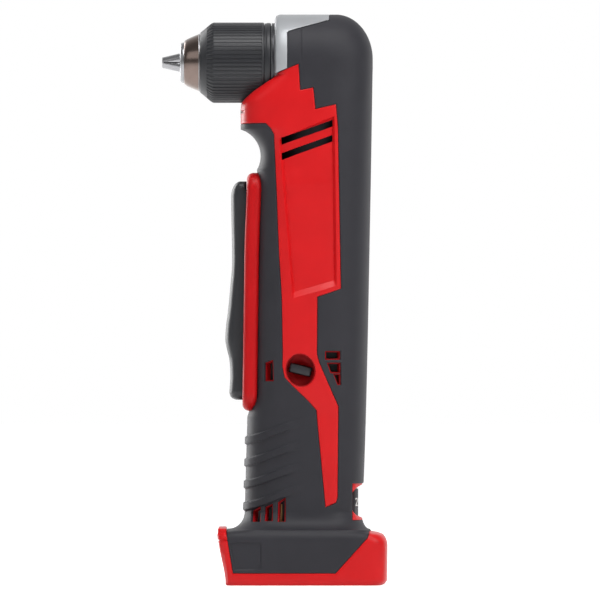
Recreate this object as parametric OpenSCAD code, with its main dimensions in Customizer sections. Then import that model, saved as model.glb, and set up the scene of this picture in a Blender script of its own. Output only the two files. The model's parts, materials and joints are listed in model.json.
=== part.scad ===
// Right angle drill: a cordless drill that stands on its battery foot with the chuck pointing to -X.
// Z is up, +X is the back of the tool and -Y its left side. The origin is on the motor axis at the foot's base.

/* [Body] */
// Height from the base of the foot to the top of the head
overall_height = 292; // [290:1:296]
// Width of the body around the motor
body_width = 56; // [55:0.5:60]
// Reach of the body in front of the motor axis, behind the trigger
body_front = 30.5; // [30:0.5:32]
// Reach of the head behind the motor axis
body_rear = 28.7; // [28:0.1:31]
// Width of the grip
grip_width = 53; // [52:0.5:56]
// Reach of the grip in front of the motor axis
grip_front = 36.6; // [36:0.1:38]
// Reach of the grip behind the motor axis
grip_rear = 23.4; // [23:0.1:25]
// Thickness of the red shell
shell = 2.1; // [1.9:0.1:2.2]
// Thickness of the rubber skin
skin = 2; // [1.8:0.1:2.1]
// Shadow gap between rubber and shell
seam = 0.3; // [0.2:0.05:0.5]
// Depth of the sunken plate on each side
plate_depth = 0.9; // [0.5:0.1:1.2]

/* [Head] */
// Radius of the round head about the spindle
head_radius = 24.7; // [24.5:0.1:25.5]
// Reach of the gear case face in front of the motor axis
head_front = 21.2; // [21:0.1:22]
// Reach of the chin under the chuck
chin_front = 38.6; // [37:0.1:40]
// Reach of the narrowest part of the neck
neck_front = 28.4; // [28:0.1:29]

/* [Foot] */
// Width of the foot
foot_width = 76; // [74:0.5:80]
// Reach of the foot in front of the motor axis
foot_front = 50.6; // [49:0.1:52]
// Reach of the foot behind the motor axis
foot_rear = 36.6; // [35:0.1:38]
// Height of the foot's shoulders
foot_height = 27.2; // [26.5:0.1:28.5]
// Width of the battery bay between its side walls
bay_width = 66; // [64:0.5:67]
// Height of the battery bay
bay_height = 16.5; // [16:0.1:17]
// Reach of each battery rail into the bay
rail_reach = 4; // [3:0.5:5]
// Thickness of the battery rails
rail_thickness = 3.6; // [3:0.1:4.5]

/* [Trigger] */
// Height of the forward and reverse shuttle above the base
shuttle_height = 110; // [109:0.5:111]
// Width of the paddle trigger
trigger_width = 23; // [22:0.5:24]
// Reach of the paddle's bulge in front of the motor axis
trigger_front = 46.5; // [45.5:0.1:47.5]
// Radius of the bead round the trigger opening
bead_radius = 3.4; // [3.2:0.1:3.6]

/* [Chuck] */
// Radius of the chuck's gripping sleeve
sleeve_radius = 20.6; // [20:0.1:20.8]
// Number of grooves round the sleeve
sleeve_grooves = 40; // [24:2:48]
// Reach of the closed jaws in front of the motor axis
jaw_reach = 78.8; // [78:0.1:80]
// Radius of each jaw
jaw_radius = 3.3; // [3.2:0.05:3.4]
// Length of each jaw
jaw_length = 33; // [32:0.5:33.5]
// Slope of the jaws to the chuck axis
jaw_angle = 15; // [14.5:0.5:15.5]
// Radius of the tool bore behind the jaws
tool_bore = 5.2; // [5.1:0.05:5.3]

/* [Drive] */
// Module of the bevel gears
bevel_module = 1.2; // [1.18:0.01:1.22]
// Teeth of the bevel pinion
pinion_teeth = 11; // [11:1:11]
// Teeth of the bevel gear
gear_teeth = 29; // [29:1:29]
// Module of the planetary gears
planet_module = 0.66; // [0.65:0.01:0.67]
// Face width of the planet gears
planet_face = 8; // [7:0.1:8]
// Radius of the motor can
can_radius = 21; // [20:0.1:21.3]
// Radius of the output spindle
spindle_radius = 6; // [5.8:0.05:6.2]

/* [Hidden] */
$fn = 72;
ring_steps = 14;
axis_z = overall_height - head_radius;
bond = 0.05;
fit = 0.05;
play = 0.3;
stack = skin + bond + shell;
half_body = body_width / 2;
half_grip = grip_width / 2;
half_foot = foot_width / 2;
floor_z = bay_height + 3;
bay_rear = foot_rear - 7.6;
flare = 9;
corner_run = 22;
corner_rise = 27;
neck_radius = 13.5;
neck_z = axis_z - 48.3;
grip_top = 86;
barrel = head_radius - stack - 0.6;
neck_barrel = barrel - 0.3;
bead_half = trigger_width / 2 + 0.7 + bead_radius;
bead_low = shuttle_height - 17.6;
bead_high = axis_z - 59.9;
bead_x = -body_front - 3;
bead_tilt = 0.8;
pivot_x = -25.5;
pivot_z = axis_z - 68.3;
paddle_low = bead_low + 2.2;
paddle_high = axis_z - 61;
plunger_z = shuttle_height - 11;
shuttle_x = -8;
bit_x = 18;
bit_z = foot_height + 15.4;
led_z = axis_z - 26.4;
sun_teeth = 12;
planet_teeth = 18;
ring_teeth = 48;
carrier_radius = planet_module * (sun_teeth + planet_teeth) / 2;
pinion_pitch = bevel_module * pinion_teeth / 2;
gear_pitch = bevel_module * gear_teeth / 2;
bearing_radius = 13;
case_low = axis_z - 53.3;
can_top = axis_z - 61.3;
can_low = axis_z - 129.3;
tip_offset = 2.6 - jaw_radius / cos(jaw_angle);
nut_low = jaw_reach - 35.2;
nut_high = jaw_reach - 28.4;
nose_back = jaw_reach - 19.3;
nose_tip = jaw_reach - 9.1;
screws = [[-40, 22.3], [26, 22.3], [-28.5, 50], [13.5, 62], [-21.3, 119.2], [18.2, 114], [-26,
    239 - 267.3 + axis_z]];

red = [0.83, 0.14, 0.15];
black = [0.2, 0.2, 0.22];
silver = [0.72, 0.72, 0.73];
steel = [0.6, 0.6, 0.62];
copper = [0.75, 0.45, 0.25];

function mix(a, b, t) = a + (b - a) * t;
function squircle(c, n) = sign(c) * pow(abs(c), 2 / n);

// Rear edge of the body at a height
function rear_at(z) = mix(grip_rear, body_rear, pow(max(0, z - 37) / (axis_z - 37), 0.75));

// Horizontal sections of the body, sunk by o: height, front, rear, half width, front and rear roundness
function section(o, z, front, rear, half, nf, nr, lift = 0) = [z - o * lift, o - front, rear - o, half - o,
    nf, nr];
function foot_sections(o) = [
    section(o, 0, foot_front - 4.6, foot_rear - 3, half_foot - 1.2, 24, 9),
    section(o, 2.5, foot_front - 4.2, foot_rear - 0.2, half_foot, 24, 9),
    section(o, floor_z, foot_front - 1.1, foot_rear, half_foot, 24, 9),
    section(o, foot_height - 5.7, foot_front - 0.8, foot_rear, half_foot, 24, 9, 0.2),
    section(o, foot_height - 1.7, foot_front, foot_rear - 1.8, half_foot - 0.6, 20, 8, 0.6),
    section(o, foot_height, foot_front - 0.6, foot_rear - 4.8, half_foot - 2, 14, 7, 0.9)];
function flare_sections(o) = [for (a = [0:30:90]) [
    foot_height + 1 + flare - (flare + o) * cos(a),
    -grip_front - flare + (flare + o) * sin(a),
    grip_rear + 4.5 - (4.5 + o) * sin(a),
    half_grip + 9 - (9 + o) * sin(a),
    mix(7, 2.8, a / 90),
    mix(6, 2.6, a / 90)]];
function trigger_sections(o) = [
    section(o, grip_top, grip_front - 1.4, rear_at(grip_top), half_grip + 0.3, 2.9, 2.6),
    section(o, grip_top + 6, body_front + 2.8, rear_at(grip_top + 6), half_grip + 0.5, 3.8, 2.6),
    section(o, grip_top + 12, body_front + 1.2, rear_at(grip_top + 12), half_grip + 0.8, 4.8, 2.6),
    section(o, shuttle_height + 16, body_front + 1, rear_at(shuttle_height + 16), half_body, 4.8, 2.6),
    section(o, axis_z - 61.5, body_front - 0.7, rear_at(axis_z - 61.5), half_body, 4.8, 2.6)];
function neck_sections(o) = [for (a = [-30:26.25:75]) let (z = neck_z + (neck_radius + o) * sin(a)) [
    z,
    max(-neck_front - neck_radius + (neck_radius + o) * cos(a), o - chin_front),
    rear_at(z) - o,
    half_body - 0.4 - 0.004 * (a + 30) - o,
    mix(4.6, 3.6, (a + 30) / 105),
    2.6]];
function chin_sections(o) = concat(
    [section(o, axis_z - 33.5, chin_front, rear_at(axis_z - 33.5), half_body - 0.9, 4, 2.7, -1),
    section(o, axis_z - 21.8, chin_front - 0.2, rear_at(axis_z - 21.8), half_body - 1.4, 4, 2.7)],
    [for (t = [0.34:0.33:1]) section(o, axis_z - 21.8 + 15.5 * t,
        mix(chin_front - 0.2, head_front, pow(t, 1.35)), body_rear, mix(half_body - 1.4, head_radius + 0.3,
            t), 5, 2.8)]);
function head_sections(o) = [for (a = [0, 17, 34, 50, 65, 78, 88])
    let (z = (head_radius - o) * sin(a), rise = corner_rise - o) [
    axis_z + z,
    o - head_front,
    body_rear - corner_run + (corner_run - o) * sqrt(1 - pow((z + corner_rise - head_radius) / rise,
        2) * 0.999),
    (head_radius - o) * cos(a),
    9,
    2.8]];
function sections(o) = concat(foot_sections(o), flare_sections(o), trigger_sections(o), neck_sections(o),
    chin_sections(o), head_sections(o));

// Points of one section about a centre line, from the front round by the left side
function ring(s, steps, last, centre = 0) = [for (j = [0:last])
    let (a = 180 * j / steps, c = cos(a), n = c > 0 ? s[4] : s[5])
    [centre - (c > 0 ? centre - s[1] : s[2] - centre) * squircle(c, n), -s[3] * squircle(sin(a), n), s[0]]];
function half_ring(s, over, steps) = over > 0
    ? concat([[s[1], over, s[0]]], ring(s, steps, steps), [[s[2], over, s[0]]])
    : ring(s, steps, steps);

// Closed skin over a stack of rings
module loft(rings) {
    n = len(rings[0]);
    m = len(rings);
    polyhedron(
        points = [for (r = rings) for (p = r) p],
        faces = concat(
            [[for (j = [0:n - 1]) j]],
            [[for (j = [n - 1:-1:0]) (m - 1) * n + j]],
            [for (i = [0:m - 2]) for (j = [0:n - 1]) let (k = (j + 1) % n)
                [i * n + j, (i + 1) * n + j, (i + 1) * n + k]],
            [for (i = [0:m - 2]) for (j = [0:n - 1]) let (k = (j + 1) % n)
                [i * n + j, (i + 1) * n + k, i * n + k]]));
}

// Left half of the body sunk by o, between two heights
module body(o, low = -1, high = 1000, over = 0, steps = ring_steps) {
    loft([for (s = sections(o)) if (s[0] >= low && s[0] <= high) half_ring(s, over, steps)]);
}

// Plate in the side view, from y = 1 out to the left, or to both sides
module side_plate(far = -60, near = 1) {
    translate([0, near, 0])
        rotate([90, 0, 0])
            linear_extrude(near - far) children();
}

// Plate in the front view, between two x
module front_plate(low, high) {
    translate([low, 0, 0])
        rotate([90, 0, 90])
            linear_extrude(high - low) children();
}

module on_chuck() {
    translate([0, 0, axis_z])
        rotate([0, -90, 0]) children();
}

module on_side(x, z, y = 0) {
    translate([x, y, z])
        rotate([90, 0, 0]) children();
}

// Rounded rectangle from left to right and low to high
module rounded(left, right, low, high, r) {
    translate([left + r, low]) square([right - left - 2 * r, high - low]);
    translate([left, low + r]) square([right - left, high - low - 2 * r]);
    for (x = [left + r, right - r]) {
        for (z = [low + r, high - r]) {
            translate([x, z]) circle(r);
        }
    }
}

// Where the red shell shows, in the side view
module red_band() {
    polygon([
        [-60, axis_z - 32.4], [-32.7, axis_z - 31.3], [-25.8, axis_z - 31.3], [-23.5, axis_z - 33.6],
        [-21.6, axis_z - 37], [-21.4, axis_z - 42.3], [-20.3, axis_z - 65.8], [-19.1, axis_z - 97],
        [-17.6, axis_z - 120.4], [-16.6, shuttle_height + 8], [-16.2, shuttle_height + 1.7],
        [-14.9, shuttle_height - 3.7], [-11, shuttle_height - 8.1], [-3.9, shuttle_height - 15.9],
        [0.2, shuttle_height - 20.6], [0.6, shuttle_height - 26], [4.8, foot_height + 12.6],
        [10.3, foot_height + 15], [11.1, foot_height + 17.5], [11.5, shuttle_height - 18.6],
        [5.9, shuttle_height - 6.1], [1.4, shuttle_height + 4.4], [0.5, shuttle_height + 8],
        [0.7, axis_z - 120], [12.8, axis_z - 115.9], [11.3, axis_z - 34.1], [10.2, axis_z - 21.6],
        [-0.3, axis_z - 24], [-1.4, axis_z - 13], [-8.1, axis_z - 14.3], [-8.9, axis_z - 0.9],
        [-21.8, axis_z - 6.4], [-60, axis_z - 6.4]]);
}
module red_foot() {
    polygon([
        [-80, -5], [80, -5], [80, foot_height + 0.6], [27.4, foot_height + 0.6], [26.2, foot_height - 2.9],
        [9.9, 6.3], [-42.4, 6.3], [-45.8, foot_height - 0.6], [-45.8, foot_height + 2.4], [-80,
            foot_height + 2.4]]);
}
module foot_lip() {
    polygon([[0.6 - foot_front, foot_height - 3], [0.5 - foot_front, foot_height + 1.2], [1.3 - foot_front,
        foot_height + 2],
        [-45.8, foot_height + 2], [-45.8, foot_height - 3]]);
}
module red_zones(grow) {
    offset(delta = grow) {
        red_band();
        red_foot();
    }
}

// Bare casting at the front and along the top of the head
module bare_head(grow) {
    offset(delta = grow)
        polygon([
            [-30, axis_z + 40], [7.2, axis_z + 40], [6.6, axis_z + 21.8], [-14, axis_z + 16.1], [-14.8,
                axis_z + 15.2],
            [-14.8, axis_z - 3.1], [-21.8, axis_z - 6.1], [-30, axis_z - 6.1]]);
}

// Sunken plate, its cooling slots and the smaller vents, in the side view
module plate_outline() {
    polygon([[-16.6, axis_z - 38.6], [9.4, axis_z - 27.6], [10.6, axis_z - 114.4], [-11.2, axis_z - 120.6]]);
}
module plate_slots() {
    for (z = [axis_z - 40.5, axis_z - 48.2]) {
        polygon([[-17.5, z - 1.6], [8.6, z + 7.7], [8.6, z + 11], [-17.5, z + 1.8]]);
    }
}
module small_vents(grow) {
    offset(delta = grow) {
        polygon([[5.2, shuttle_height + 5.7], [12, shuttle_height + 5.7], [12, shuttle_height + 9],
            [5.2, shuttle_height + 9]]);
        polygon([[7.8, shuttle_height - 1.2], [12.2, shuttle_height - 1.2], [12.2, shuttle_height + 3.1],
            [6.4, shuttle_height + 3.1]]);
        polygon([[11.6, shuttle_height - 7.2], [12.3, shuttle_height - 7.2], [12.3, shuttle_height - 2.6],
            [9.6, shuttle_height - 2.6]]);
        polygon([[-26, shuttle_height - 5.2], [-22.4, shuttle_height - 5.2], [-22.6, shuttle_height + 4.4],
            [-26, shuttle_height + 3.2]]);
        polygon([[-32.3, foot_height + 6], [-29, foot_height + 6], [-29, foot_height + 12.2], [-32.3,
            foot_height + 10.6]]);
        polygon([[-25.8, foot_height + 6.4], [-22.8, foot_height + 6.4], [-22.8, foot_height + 13.6],
            [-25.8, foot_height + 12.2]]);
        polygon([[-19.1, foot_height + 6], [-16.2, foot_height + 6], [-16.2, foot_height + 16.6],
            [-19.1, foot_height + 14.8]]);
    }
}
module shuttle_well(grow) {
    translate([shuttle_x, shuttle_height - 0.4])
        rotate(12)
            polygon([for (a = [0:15:345]) [(7 + grow) * cos(a), (8.6 + grow) * sin(a)]]);
}

module shuttle_bar(grow) {
    translate([shuttle_x, shuttle_height])
        rotate(-14) square([11 + 2 * grow, 4.4 + 2 * grow], center = true);
}

// Notch for the spare bit at the back of the grip
module bit_notch(grow) {
    side_plate(-40, 40)
        translate([18.7 - grow, bit_z - 9.3 - grow]) square([30, 18.6 + 2 * grow]);
    translate([12.4 - grow, -9 - grow, bit_z - 9.3 - grow]) cube([10, 18 + 2 * grow, 18.6 + 2 * grow]);
}

module bit_slot() {
    translate([bit_x - 3.75, -3.3, bit_z - 12.7]) cube([30, 6.6, 25.4]);
}

// Clearance round the chuck and the gear case
module head_room() {
    on_chuck() {
        translate([0, 0, head_front]) cylinder(r = sleeve_radius + 1.3, h = 40);
        translate([0, 0, -2]) cylinder(r = barrel + 0.2, h = head_front + 4);
    }
}

// Trigger opening with its rounded bead, leaning with the front of the body
module on_bead() {
    translate([bead_x, 0, 150])
        rotate([0, bead_tilt, 0])
            translate([-bead_x, 0, -150]) children();
}
module trigger_frame() {
    intersection() {
        on_bead() {
            front_plate(bead_x, -18)
                rounded(-bead_half - bead_radius, bead_half + bead_radius, bead_low - bead_radius,
                    bead_high + bead_radius, 9);
            translate([bead_x, 0, 0])
                rotate([90, 0, 90]) {
                    translate([-bead_half, bead_low + 9 - bead_radius])
                        rotate([-90, 0, 0]) cylinder(r = bead_radius,
                            h = bead_high - bead_low - 18 + 2 * bead_radius);
                    for (z = [bead_low, bead_high]) {
                        translate([-bead_half + 9 - bead_radius, z])
                            rotate([0, 90, 0]) cylinder(r = bead_radius, h = 2 * bead_half);
                    }
                    translate([-bead_half + 9 - bead_radius, bead_low + 9 - bead_radius])
                        rotate(180) rotate_extrude(angle = 90) translate([9 - bead_radius,
                            0]) circle(bead_radius);
                    translate([-bead_half + 9 - bead_radius, bead_high - 9 + bead_radius])
                        rotate(90) rotate_extrude(angle = 90) translate([9 - bead_radius,
                            0]) circle(bead_radius);
                }
        }
        translate([-80, -60, 40]) cube([70, 60, overall_height]);
    }
}
module trigger_opening() {
    front_plate(-80, -20)
        rounded(-trigger_width / 2 - 0.7, trigger_width / 2 + 0.7, bead_low + 0.5, bead_high - bead_radius,
            4);
}

// Battery bay with its two rails
module battery_bay() {
    translate([-80, -bay_width / 2, rail_thickness]) cube([80 + bay_rear, bay_width,
        bay_height - rail_thickness]);
    translate([-80, rail_reach - bay_width / 2, -1]) cube([80 + bay_rear, bay_width - 2 * rail_reach,
        bay_height]);
    translate([-16.2, -14.2, bay_height - 1]) cube([36.4, 28.4, 8]);
}

// Walls that stand behind the vents
module inner_baffles() {
    translate([-28, shuttle_height - 8]) square([7.5, 15]);
    translate([0, shuttle_height - 10]) square([16, 21]);
    translate([-36, foot_height + 3]) square([22, 18]);
}

// Room inside a housing half, less the walls, ribs and screw posts that stand in it
module inner_room() {
    difference() {
        body(stack, floor_z - 0.5, 1000, 0.5, 10);
        for (s = screws) {
            on_side(s[0], s[1], 2) cylinder(r = 4.6, h = 40);
        }
        on_chuck() translate([0, 0, head_front - 2]) cylinder(r = sleeve_radius + 3.5, h = 40);
        side_plate(-40, -17.6) shuttle_well(1.6);
        side_plate(-15, -13) inner_baffles();
        on_side(pivot_x, pivot_z, -12.8) cylinder(r = 3.8, h = 40);
        for (z = [can_low + 12, can_top - 16]) {
            translate([0, 0, z]) linear_extrude(2) difference() {
                square(120, center = true);
                circle(can_radius + 0.15);
                translate([-40, -15]) square([30, 30]);
            }
        }
        translate([0, 0, axis_z - 44]) linear_extrude(2) difference() {
            square(120, center = true);
            circle(neck_barrel + 1.15);
        }
        for (z = [shuttle_height - 46, shuttle_height - 16]) {
            translate([0, 0, z]) linear_extrude(2) difference() {
                square(120, center = true);
                translate([-20.2, -10.7]) square([29.4, 21.4]);
                translate([-40, -14]) square([21, 28]);
            }
        }
    }
}

// Left half of the shell; the right half is its mirror image with deep screw heads
module housing_half(right) {
    difference() {
        union() {
            difference() {
                body(0);
                difference() {
                    side_plate() difference() {
                        translate([-100, -10]) square([200, overall_height + 30]);
                        red_zones(0);
                    }
                    body(skin + bond, -1, 1000, 0.5);
                }
            }
            trigger_frame();
            side_plate(3.4 - half_foot, 0) foot_lip();
        }
        inner_room();
        difference() {
            side_plate() plate_outline();
            body(plate_depth, shuttle_height + 10, axis_z + 10, 0.5);
        }
        side_plate() plate_slots();
        side_plate(-60, -16) small_vents(0);
        side_plate(-60, -20) shuttle_well(0);
        side_plate() shuttle_bar(0.4);
        side_plate() bare_head(seam);
        bit_notch(0.1);
        bit_slot();
        head_room();
        trigger_opening();
        battery_bay();
        on_side(pivot_x, pivot_z, 1) cylinder(r = 1.5 + fit, h = 18);
        on_chuck() translate([led_z - axis_z, 0, 30]) cylinder(r = 3.1, h = 20);
        for (s = screws) {
            on_side(s[0], s[1], 1) cylinder(r = right ? 1.7 : 1.55, h = right ? 60 : 10);
        }
        if (right) {
            for (s = screws) {
                on_side(s[0], s[1], -12) cylinder(r = 3.4, h = 40);
            }
        }
    }
}
module left_housing() {
    color(red) housing_half(false);
}
module right_housing() {
    color(red) mirror([0, 1, 0]) housing_half(true);
}

// Wavy finger ribs on the front of the grip
module finger_ribs() {
    for (z = [39.6, 50.7, 61.7, 72.7]) {
        polygon([[-45, z - 2], [-37, z - 2], [-29, z + 0.5], [-22, z + 4], [-15, z + 7], [-10, z + 8.6],
            [-15, z + 8.4],
            [-22, z + 6.8], [-29, z + 4.2], [-37, z + 2.4], [-45, z + 2.4]]);
    }
}
module skin_half(right) {
    difference() {
        union() {
            intersection() {
                body(0);
                side_plate() difference() {
                    translate([-100, -10]) square([200, overall_height + 30]);
                    red_zones(seam);
                }
            }
            intersection() {
                body(-0.6, 30, 90);
                side_plate() finger_ribs();
            }
        }
        body(skin, -1, 1000, 0.5);
        on_bead() front_plate(-80, -15) rounded(-bead_half - bead_radius - seam,
            bead_half + bead_radius + seam,
            bead_low - bead_radius - seam, bead_high + bead_radius + seam, 9);
        side_plate() small_vents(0.9);
        side_plate() shuttle_well(seam);
        side_plate() bare_head(seam);
        bit_notch(0.1);
        bit_slot();
        head_room();
        if (right) {
            for (s = screws) {
                on_side(s[0], s[1], -10) cylinder(r = 3.8, h = 40);
            }
        }
    }
}
module left_overmold() {
    color(black) skin_half(false);
}
module right_overmold() {
    color(black) mirror([0, 1, 0]) skin_half(true);
}

module housing_screws() {
    color(steel)
        for (s = screws) {
            on_side(s[0], s[1], 14.3) difference() {
                union() {
                    cylinder(r = 3, h = 2.2);
                    cylinder(r = 1.5, h = 22.6);
                }
                translate([0, 0, -1]) cylinder(r = 1.5, h = 2.2, $fn = 6);
            }
        }
}

// Cast case for the bevel and planetary gears
module gear_case() {
    color(silver)
        difference() {
            union() {
                on_chuck() rotate_extrude() polygon([[0, -20.5], [11, -20.5], [barrel, -6], [barrel,
                    head_front],
                    [20.2, head_front], [20.2, head_front + 1.5], [19.3, head_front + 1.5],
                    [19.3, head_front + 0.6], [0, head_front + 0.6]]);
                translate([0, 0, case_low]) cylinder(r = neck_barrel, h = 46);
                intersection() {
                    on_chuck() rotate_extrude() polygon([[barrel - 1, -8], [head_radius, -8],
                        [head_radius, head_front - 2.6], [head_radius - 0.8, head_front - 0.8],
                        [head_radius - 2.6, head_front], [barrel - 1, head_front]]);
                    side_plate(-40, 40) bare_head(0);
                }
            }
            on_chuck() {
                translate([0, 0, 13.2]) cylinder(r = bearing_radius + fit, h = 20);
                translate([0, 0, head_front - 0.8]) cylinder(r = bearing_radius + 0.8, h = 0.5);
                translate([0, 0, -4]) cylinder(r = gear_pitch + 0.9, h = 17.2);
                translate([0, 0, -17.5]) cylinder(r = 8 + fit, h = 16);
            }
            translate([0, 0, case_low - 1]) cylinder(r = 17.9 + fit, h = 13);
            translate([0, 0, case_low]) cylinder(r = 16.3, h = 17.3);
            translate([0, 0, case_low]) cylinder(r = 11 + fit, h = 24.3);
            translate([0, 0, case_low]) cylinder(r = 8.7, h = 43);
        }
}

// Rubber sleeve that seats the neck of the gear case in the shell
module case_isolator() {
    color(black)
        translate([0, 0, case_low + 0.2]) linear_extrude(27) difference() {
            circle(neck_barrel + 1);
            circle(neck_barrel + fit);
        }
}

// Sealed bearing standing on z = 0
module bearing(inner, outer, width) {
    lip = (outer - inner) * 0.28;
    color(steel)
        rotate_extrude()
            polygon([[inner, 0], [inner + lip, 0], [inner + lip, 0.4], [outer - lip, 0.4], [outer - lip, 0],
                [outer, 0],
                [outer, width], [outer - lip, width], [outer - lip, width - 0.4], [inner + lip, width - 0.4],
                [inner + lip, width], [inner, width]]);
}
module front_bearing() {
    on_chuck() translate([0, 0, head_front - 7.8]) bearing(spindle_radius + fit, bearing_radius, 7);
}
module retaining_ring() {
    color(steel)
        on_chuck() translate([0, 0, head_front - 0.75]) linear_extrude(0.4) difference() {
            circle(bearing_radius + 0.7);
            circle(bearing_radius - 2.4);
            translate([0, -1.5]) square([30, 3]);
        }
}
module rear_bearing() {
    on_chuck() translate([0, 0, -16.5]) bearing(4.5 + fit, 8, 10);
}
module spindle() {
    color(steel)
        on_chuck() difference() {
            rotate_extrude() polygon([[0, -16.8], [4.5, -16.8], [4.5, -5], [spindle_radius, -5],
                [spindle_radius, head_front - 0.6], [7.4, head_front - 0.6], [7.4, head_front + 0.6],
                [5.9, head_front + 0.6], [5.9, 33], [4.5, 33], [4.5, 34.2], [0, 34.2]]);
            translate([0, 0, 20]) cylinder(r = 2.4 + fit, h = 20);
        }
}

// Involute gear teeth
function involute(a) = tan(a) - a * PI / 180;
function tooth_half(r, pitch, width) = (width / 2 / pitch + involute(20)
    - involute(acos(min(1, pitch * cos(20) / r)))) * 180 / PI;
function tooth_path(root, tip) = [[root, -1], [mix(root, tip, 0.4), -1], [mix(root, tip, 0.7), -1], [tip, -1],
    [tip, 1], [mix(root, tip, 0.7), 1], [mix(root, tip, 0.4), 1], [root, 1]];
module gear_outline(teeth, add, ded, slack) {
    pitch = planet_module * teeth / 2;
    width = planet_module * PI / 2 - slack;
    polygon([for (k = [0:teeth - 1]) for (p = tooth_path(pitch - ded * planet_module,
        pitch + add * planet_module))
        let (a = k * 360 / teeth + p[1] * tooth_half(p[0], pitch, width)) p[0] * [cos(a), sin(a)]]);
}

// Bevel gear whose teeth run to the crossing of the axes at the origin, its back towards +z
module bevel(teeth, pitch, mate, add, ded, face, turn) {
    cone = sqrt(pitch * pitch + mate * mate);
    back = pitch * cone / mate;
    toe = 1 - face / cone;
    width = bevel_module * PI / 2 - 0.22;
    heel = [for (k = [0:teeth - 1]) for (p = tooth_path(back - ded * bevel_module, back + add * bevel_module))
        let (a = turn + k * 360 / teeth + p[1] * tooth_half(p[0], back, width) * cone / mate,
            r = pitch + (p[0] - back) * mate / cone)
        [r * cos(a), r * sin(a), mate - (p[0] - back) * pitch / cone]];
    n = len(heel);
    polyhedron(
        points = concat([for (p = heel) p * toe], heel, [[0, 0, mate * toe], [0, 0, mate + 1]]),
        faces = concat(
            [for (j = [0:n - 1]) [j, (j + 1) % n, 2 * n]],
            [for (j = [0:n - 1]) [n + (j + 1) % n, n + j, 2 * n + 1]],
            [for (j = [0:n - 1]) [j, n + j, n + (j + 1) % n]],
            [for (j = [0:n - 1]) [j, n + (j + 1) % n, (j + 1) % n]]));
}
module bevel_gear() {
    color(steel)
        on_chuck() difference() {
            union() {
                bevel(gear_teeth, gear_pitch, pinion_pitch, 0.6, 1.25, 5.6, 180 + 180 / gear_teeth);
                translate([0, 0, pinion_pitch - 0.6]) cylinder(r = 11, h = 6.8);
            }
            translate([0, 0, -1]) cylinder(r = spindle_radius + 0.01, h = 20);
        }
}
module bevel_pinion() {
    color(steel) {
        translate([0, 0, axis_z]) rotate([180, 0, 0]) union() {
            bevel(pinion_teeth, pinion_pitch, gear_pitch, 1, 0.85, 5.6, 180);
            translate([0, 0, gear_pitch]) cylinder(r = 5.6, h = 11.8);
            translate([0, 0, gear_pitch + 11]) cylinder(r = 5, h = 12.5);
        }
    }
}
module pinion_bearing() {
    translate([0, 0, case_low + 18]) bearing(5 + fit, 11, 6);
}
module planet_carrier() {
    color(steel)
        translate([0, 0, case_low + 12.4]) linear_extrude(4) difference() {
            circle(15.6);
            circle(5.01);
            for (k = [0:2]) {
                rotate(120 * k) translate([carrier_radius, 0]) circle(2.01);
            }
        }
}
module planet_pins() {
    color(steel)
        for (k = [0:2]) {
            rotate(120 * k) translate([carrier_radius, 0, case_low + 2.6]) cylinder(r = 2, h = 13.6);
        }
}
module planet_gear(k) {
    color(steel)
        rotate(120 * k) translate([carrier_radius, 0, case_low + 3.4])
            rotate(120 * k * sun_teeth / planet_teeth + 180 - 180 / planet_teeth)
                linear_extrude(planet_face) difference() {
                    gear_outline(planet_teeth, 0.8, 1.2, 0.12);
                    circle(2 + fit);
                }
}
module planet_gear_1() {
    planet_gear(0);
}
module planet_gear_2() {
    planet_gear(1);
}
module planet_gear_3() {
    planet_gear(2);
}
module ring_gear() {
    color(steel)
        translate([0, 0, case_low + 2]) linear_extrude(9.8) difference() {
            circle(17.9);
            rotate(180 / ring_teeth) gear_outline(ring_teeth, 1.2, 0.8, -0.12);
        }
}
module sun_gear() {
    color(steel)
        translate([0, 0, case_low + 1.2]) linear_extrude(10.4) difference() {
            gear_outline(sun_teeth, 0.8, 1.2, 0.12);
            circle(2.51);
        }
}

// Motor, from the plate under the gear case down to the brush card
module motor_plate() {
    color(silver)
        difference() {
            translate([0, 0, can_top]) cylinder(r = neck_barrel, h = case_low - can_top);
            translate([0, 0, can_top - 1]) cylinder(r = 8 + fit, h = 6.5);
            translate([0, 0, can_top - 1]) cylinder(r = 6, h = 20);
            for (x = [-13, 13]) {
                translate([x, 0, can_top - 1]) cylinder(r = 1.6, h = 20);
                translate([x, 0, case_low - 2.6]) cylinder(r = 3, h = 5);
            }
        }
}
module motor_screws() {
    color(steel)
        for (x = [-13, 13]) {
            translate([x, 0, 0]) difference() {
                union() {
                    translate([0, 0, case_low - 2.6]) cylinder(r = 2.8, h = 2.2);
                    translate([0, 0, can_top - 2.2]) cylinder(r = 1.5, h = 8);
                }
                translate([0, 0, case_low - 1.8]) cylinder(r = 1.4, h = 3, $fn = 6);
            }
        }
}
module motor_can() {
    color(steel)
        difference() {
            translate([0, 0, can_low]) cylinder(r = can_radius, h = can_top - can_low);
            translate([0, 0, can_low - 1]) cylinder(r = can_radius - 1.6, h = can_top - can_low - 0.6);
            translate([0, 0, can_low]) cylinder(r = 8.6, h = 100);
            for (x = [-13, 13]) {
                translate([x, 0, can_top - 5]) cylinder(r = 1.55, h = 10);
            }
            for (a = [45:90:315]) {
                rotate(a) translate([10, -4, can_top - 11]) cube([20, 8, 7]);
            }
        }
}
module motor_magnets() {
    color([0.25, 0.25, 0.27])
        for (a = [20, 200]) {
            rotate(a) translate([0, 0, can_low + 10]) rotate_extrude(angle = 140)
                translate([16.4, 0]) square([can_radius - 1.62 - 16.4, 44]);
        }
}
module motor_front_bearing() {
    translate([0, 0, can_top + 0.4]) bearing(2.5 + fit, 8, 5);
}
module motor_rear_bearing() {
    translate([0, 0, can_low - 18.8]) bearing(2.5 + fit, 6.5, 5);
}
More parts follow.
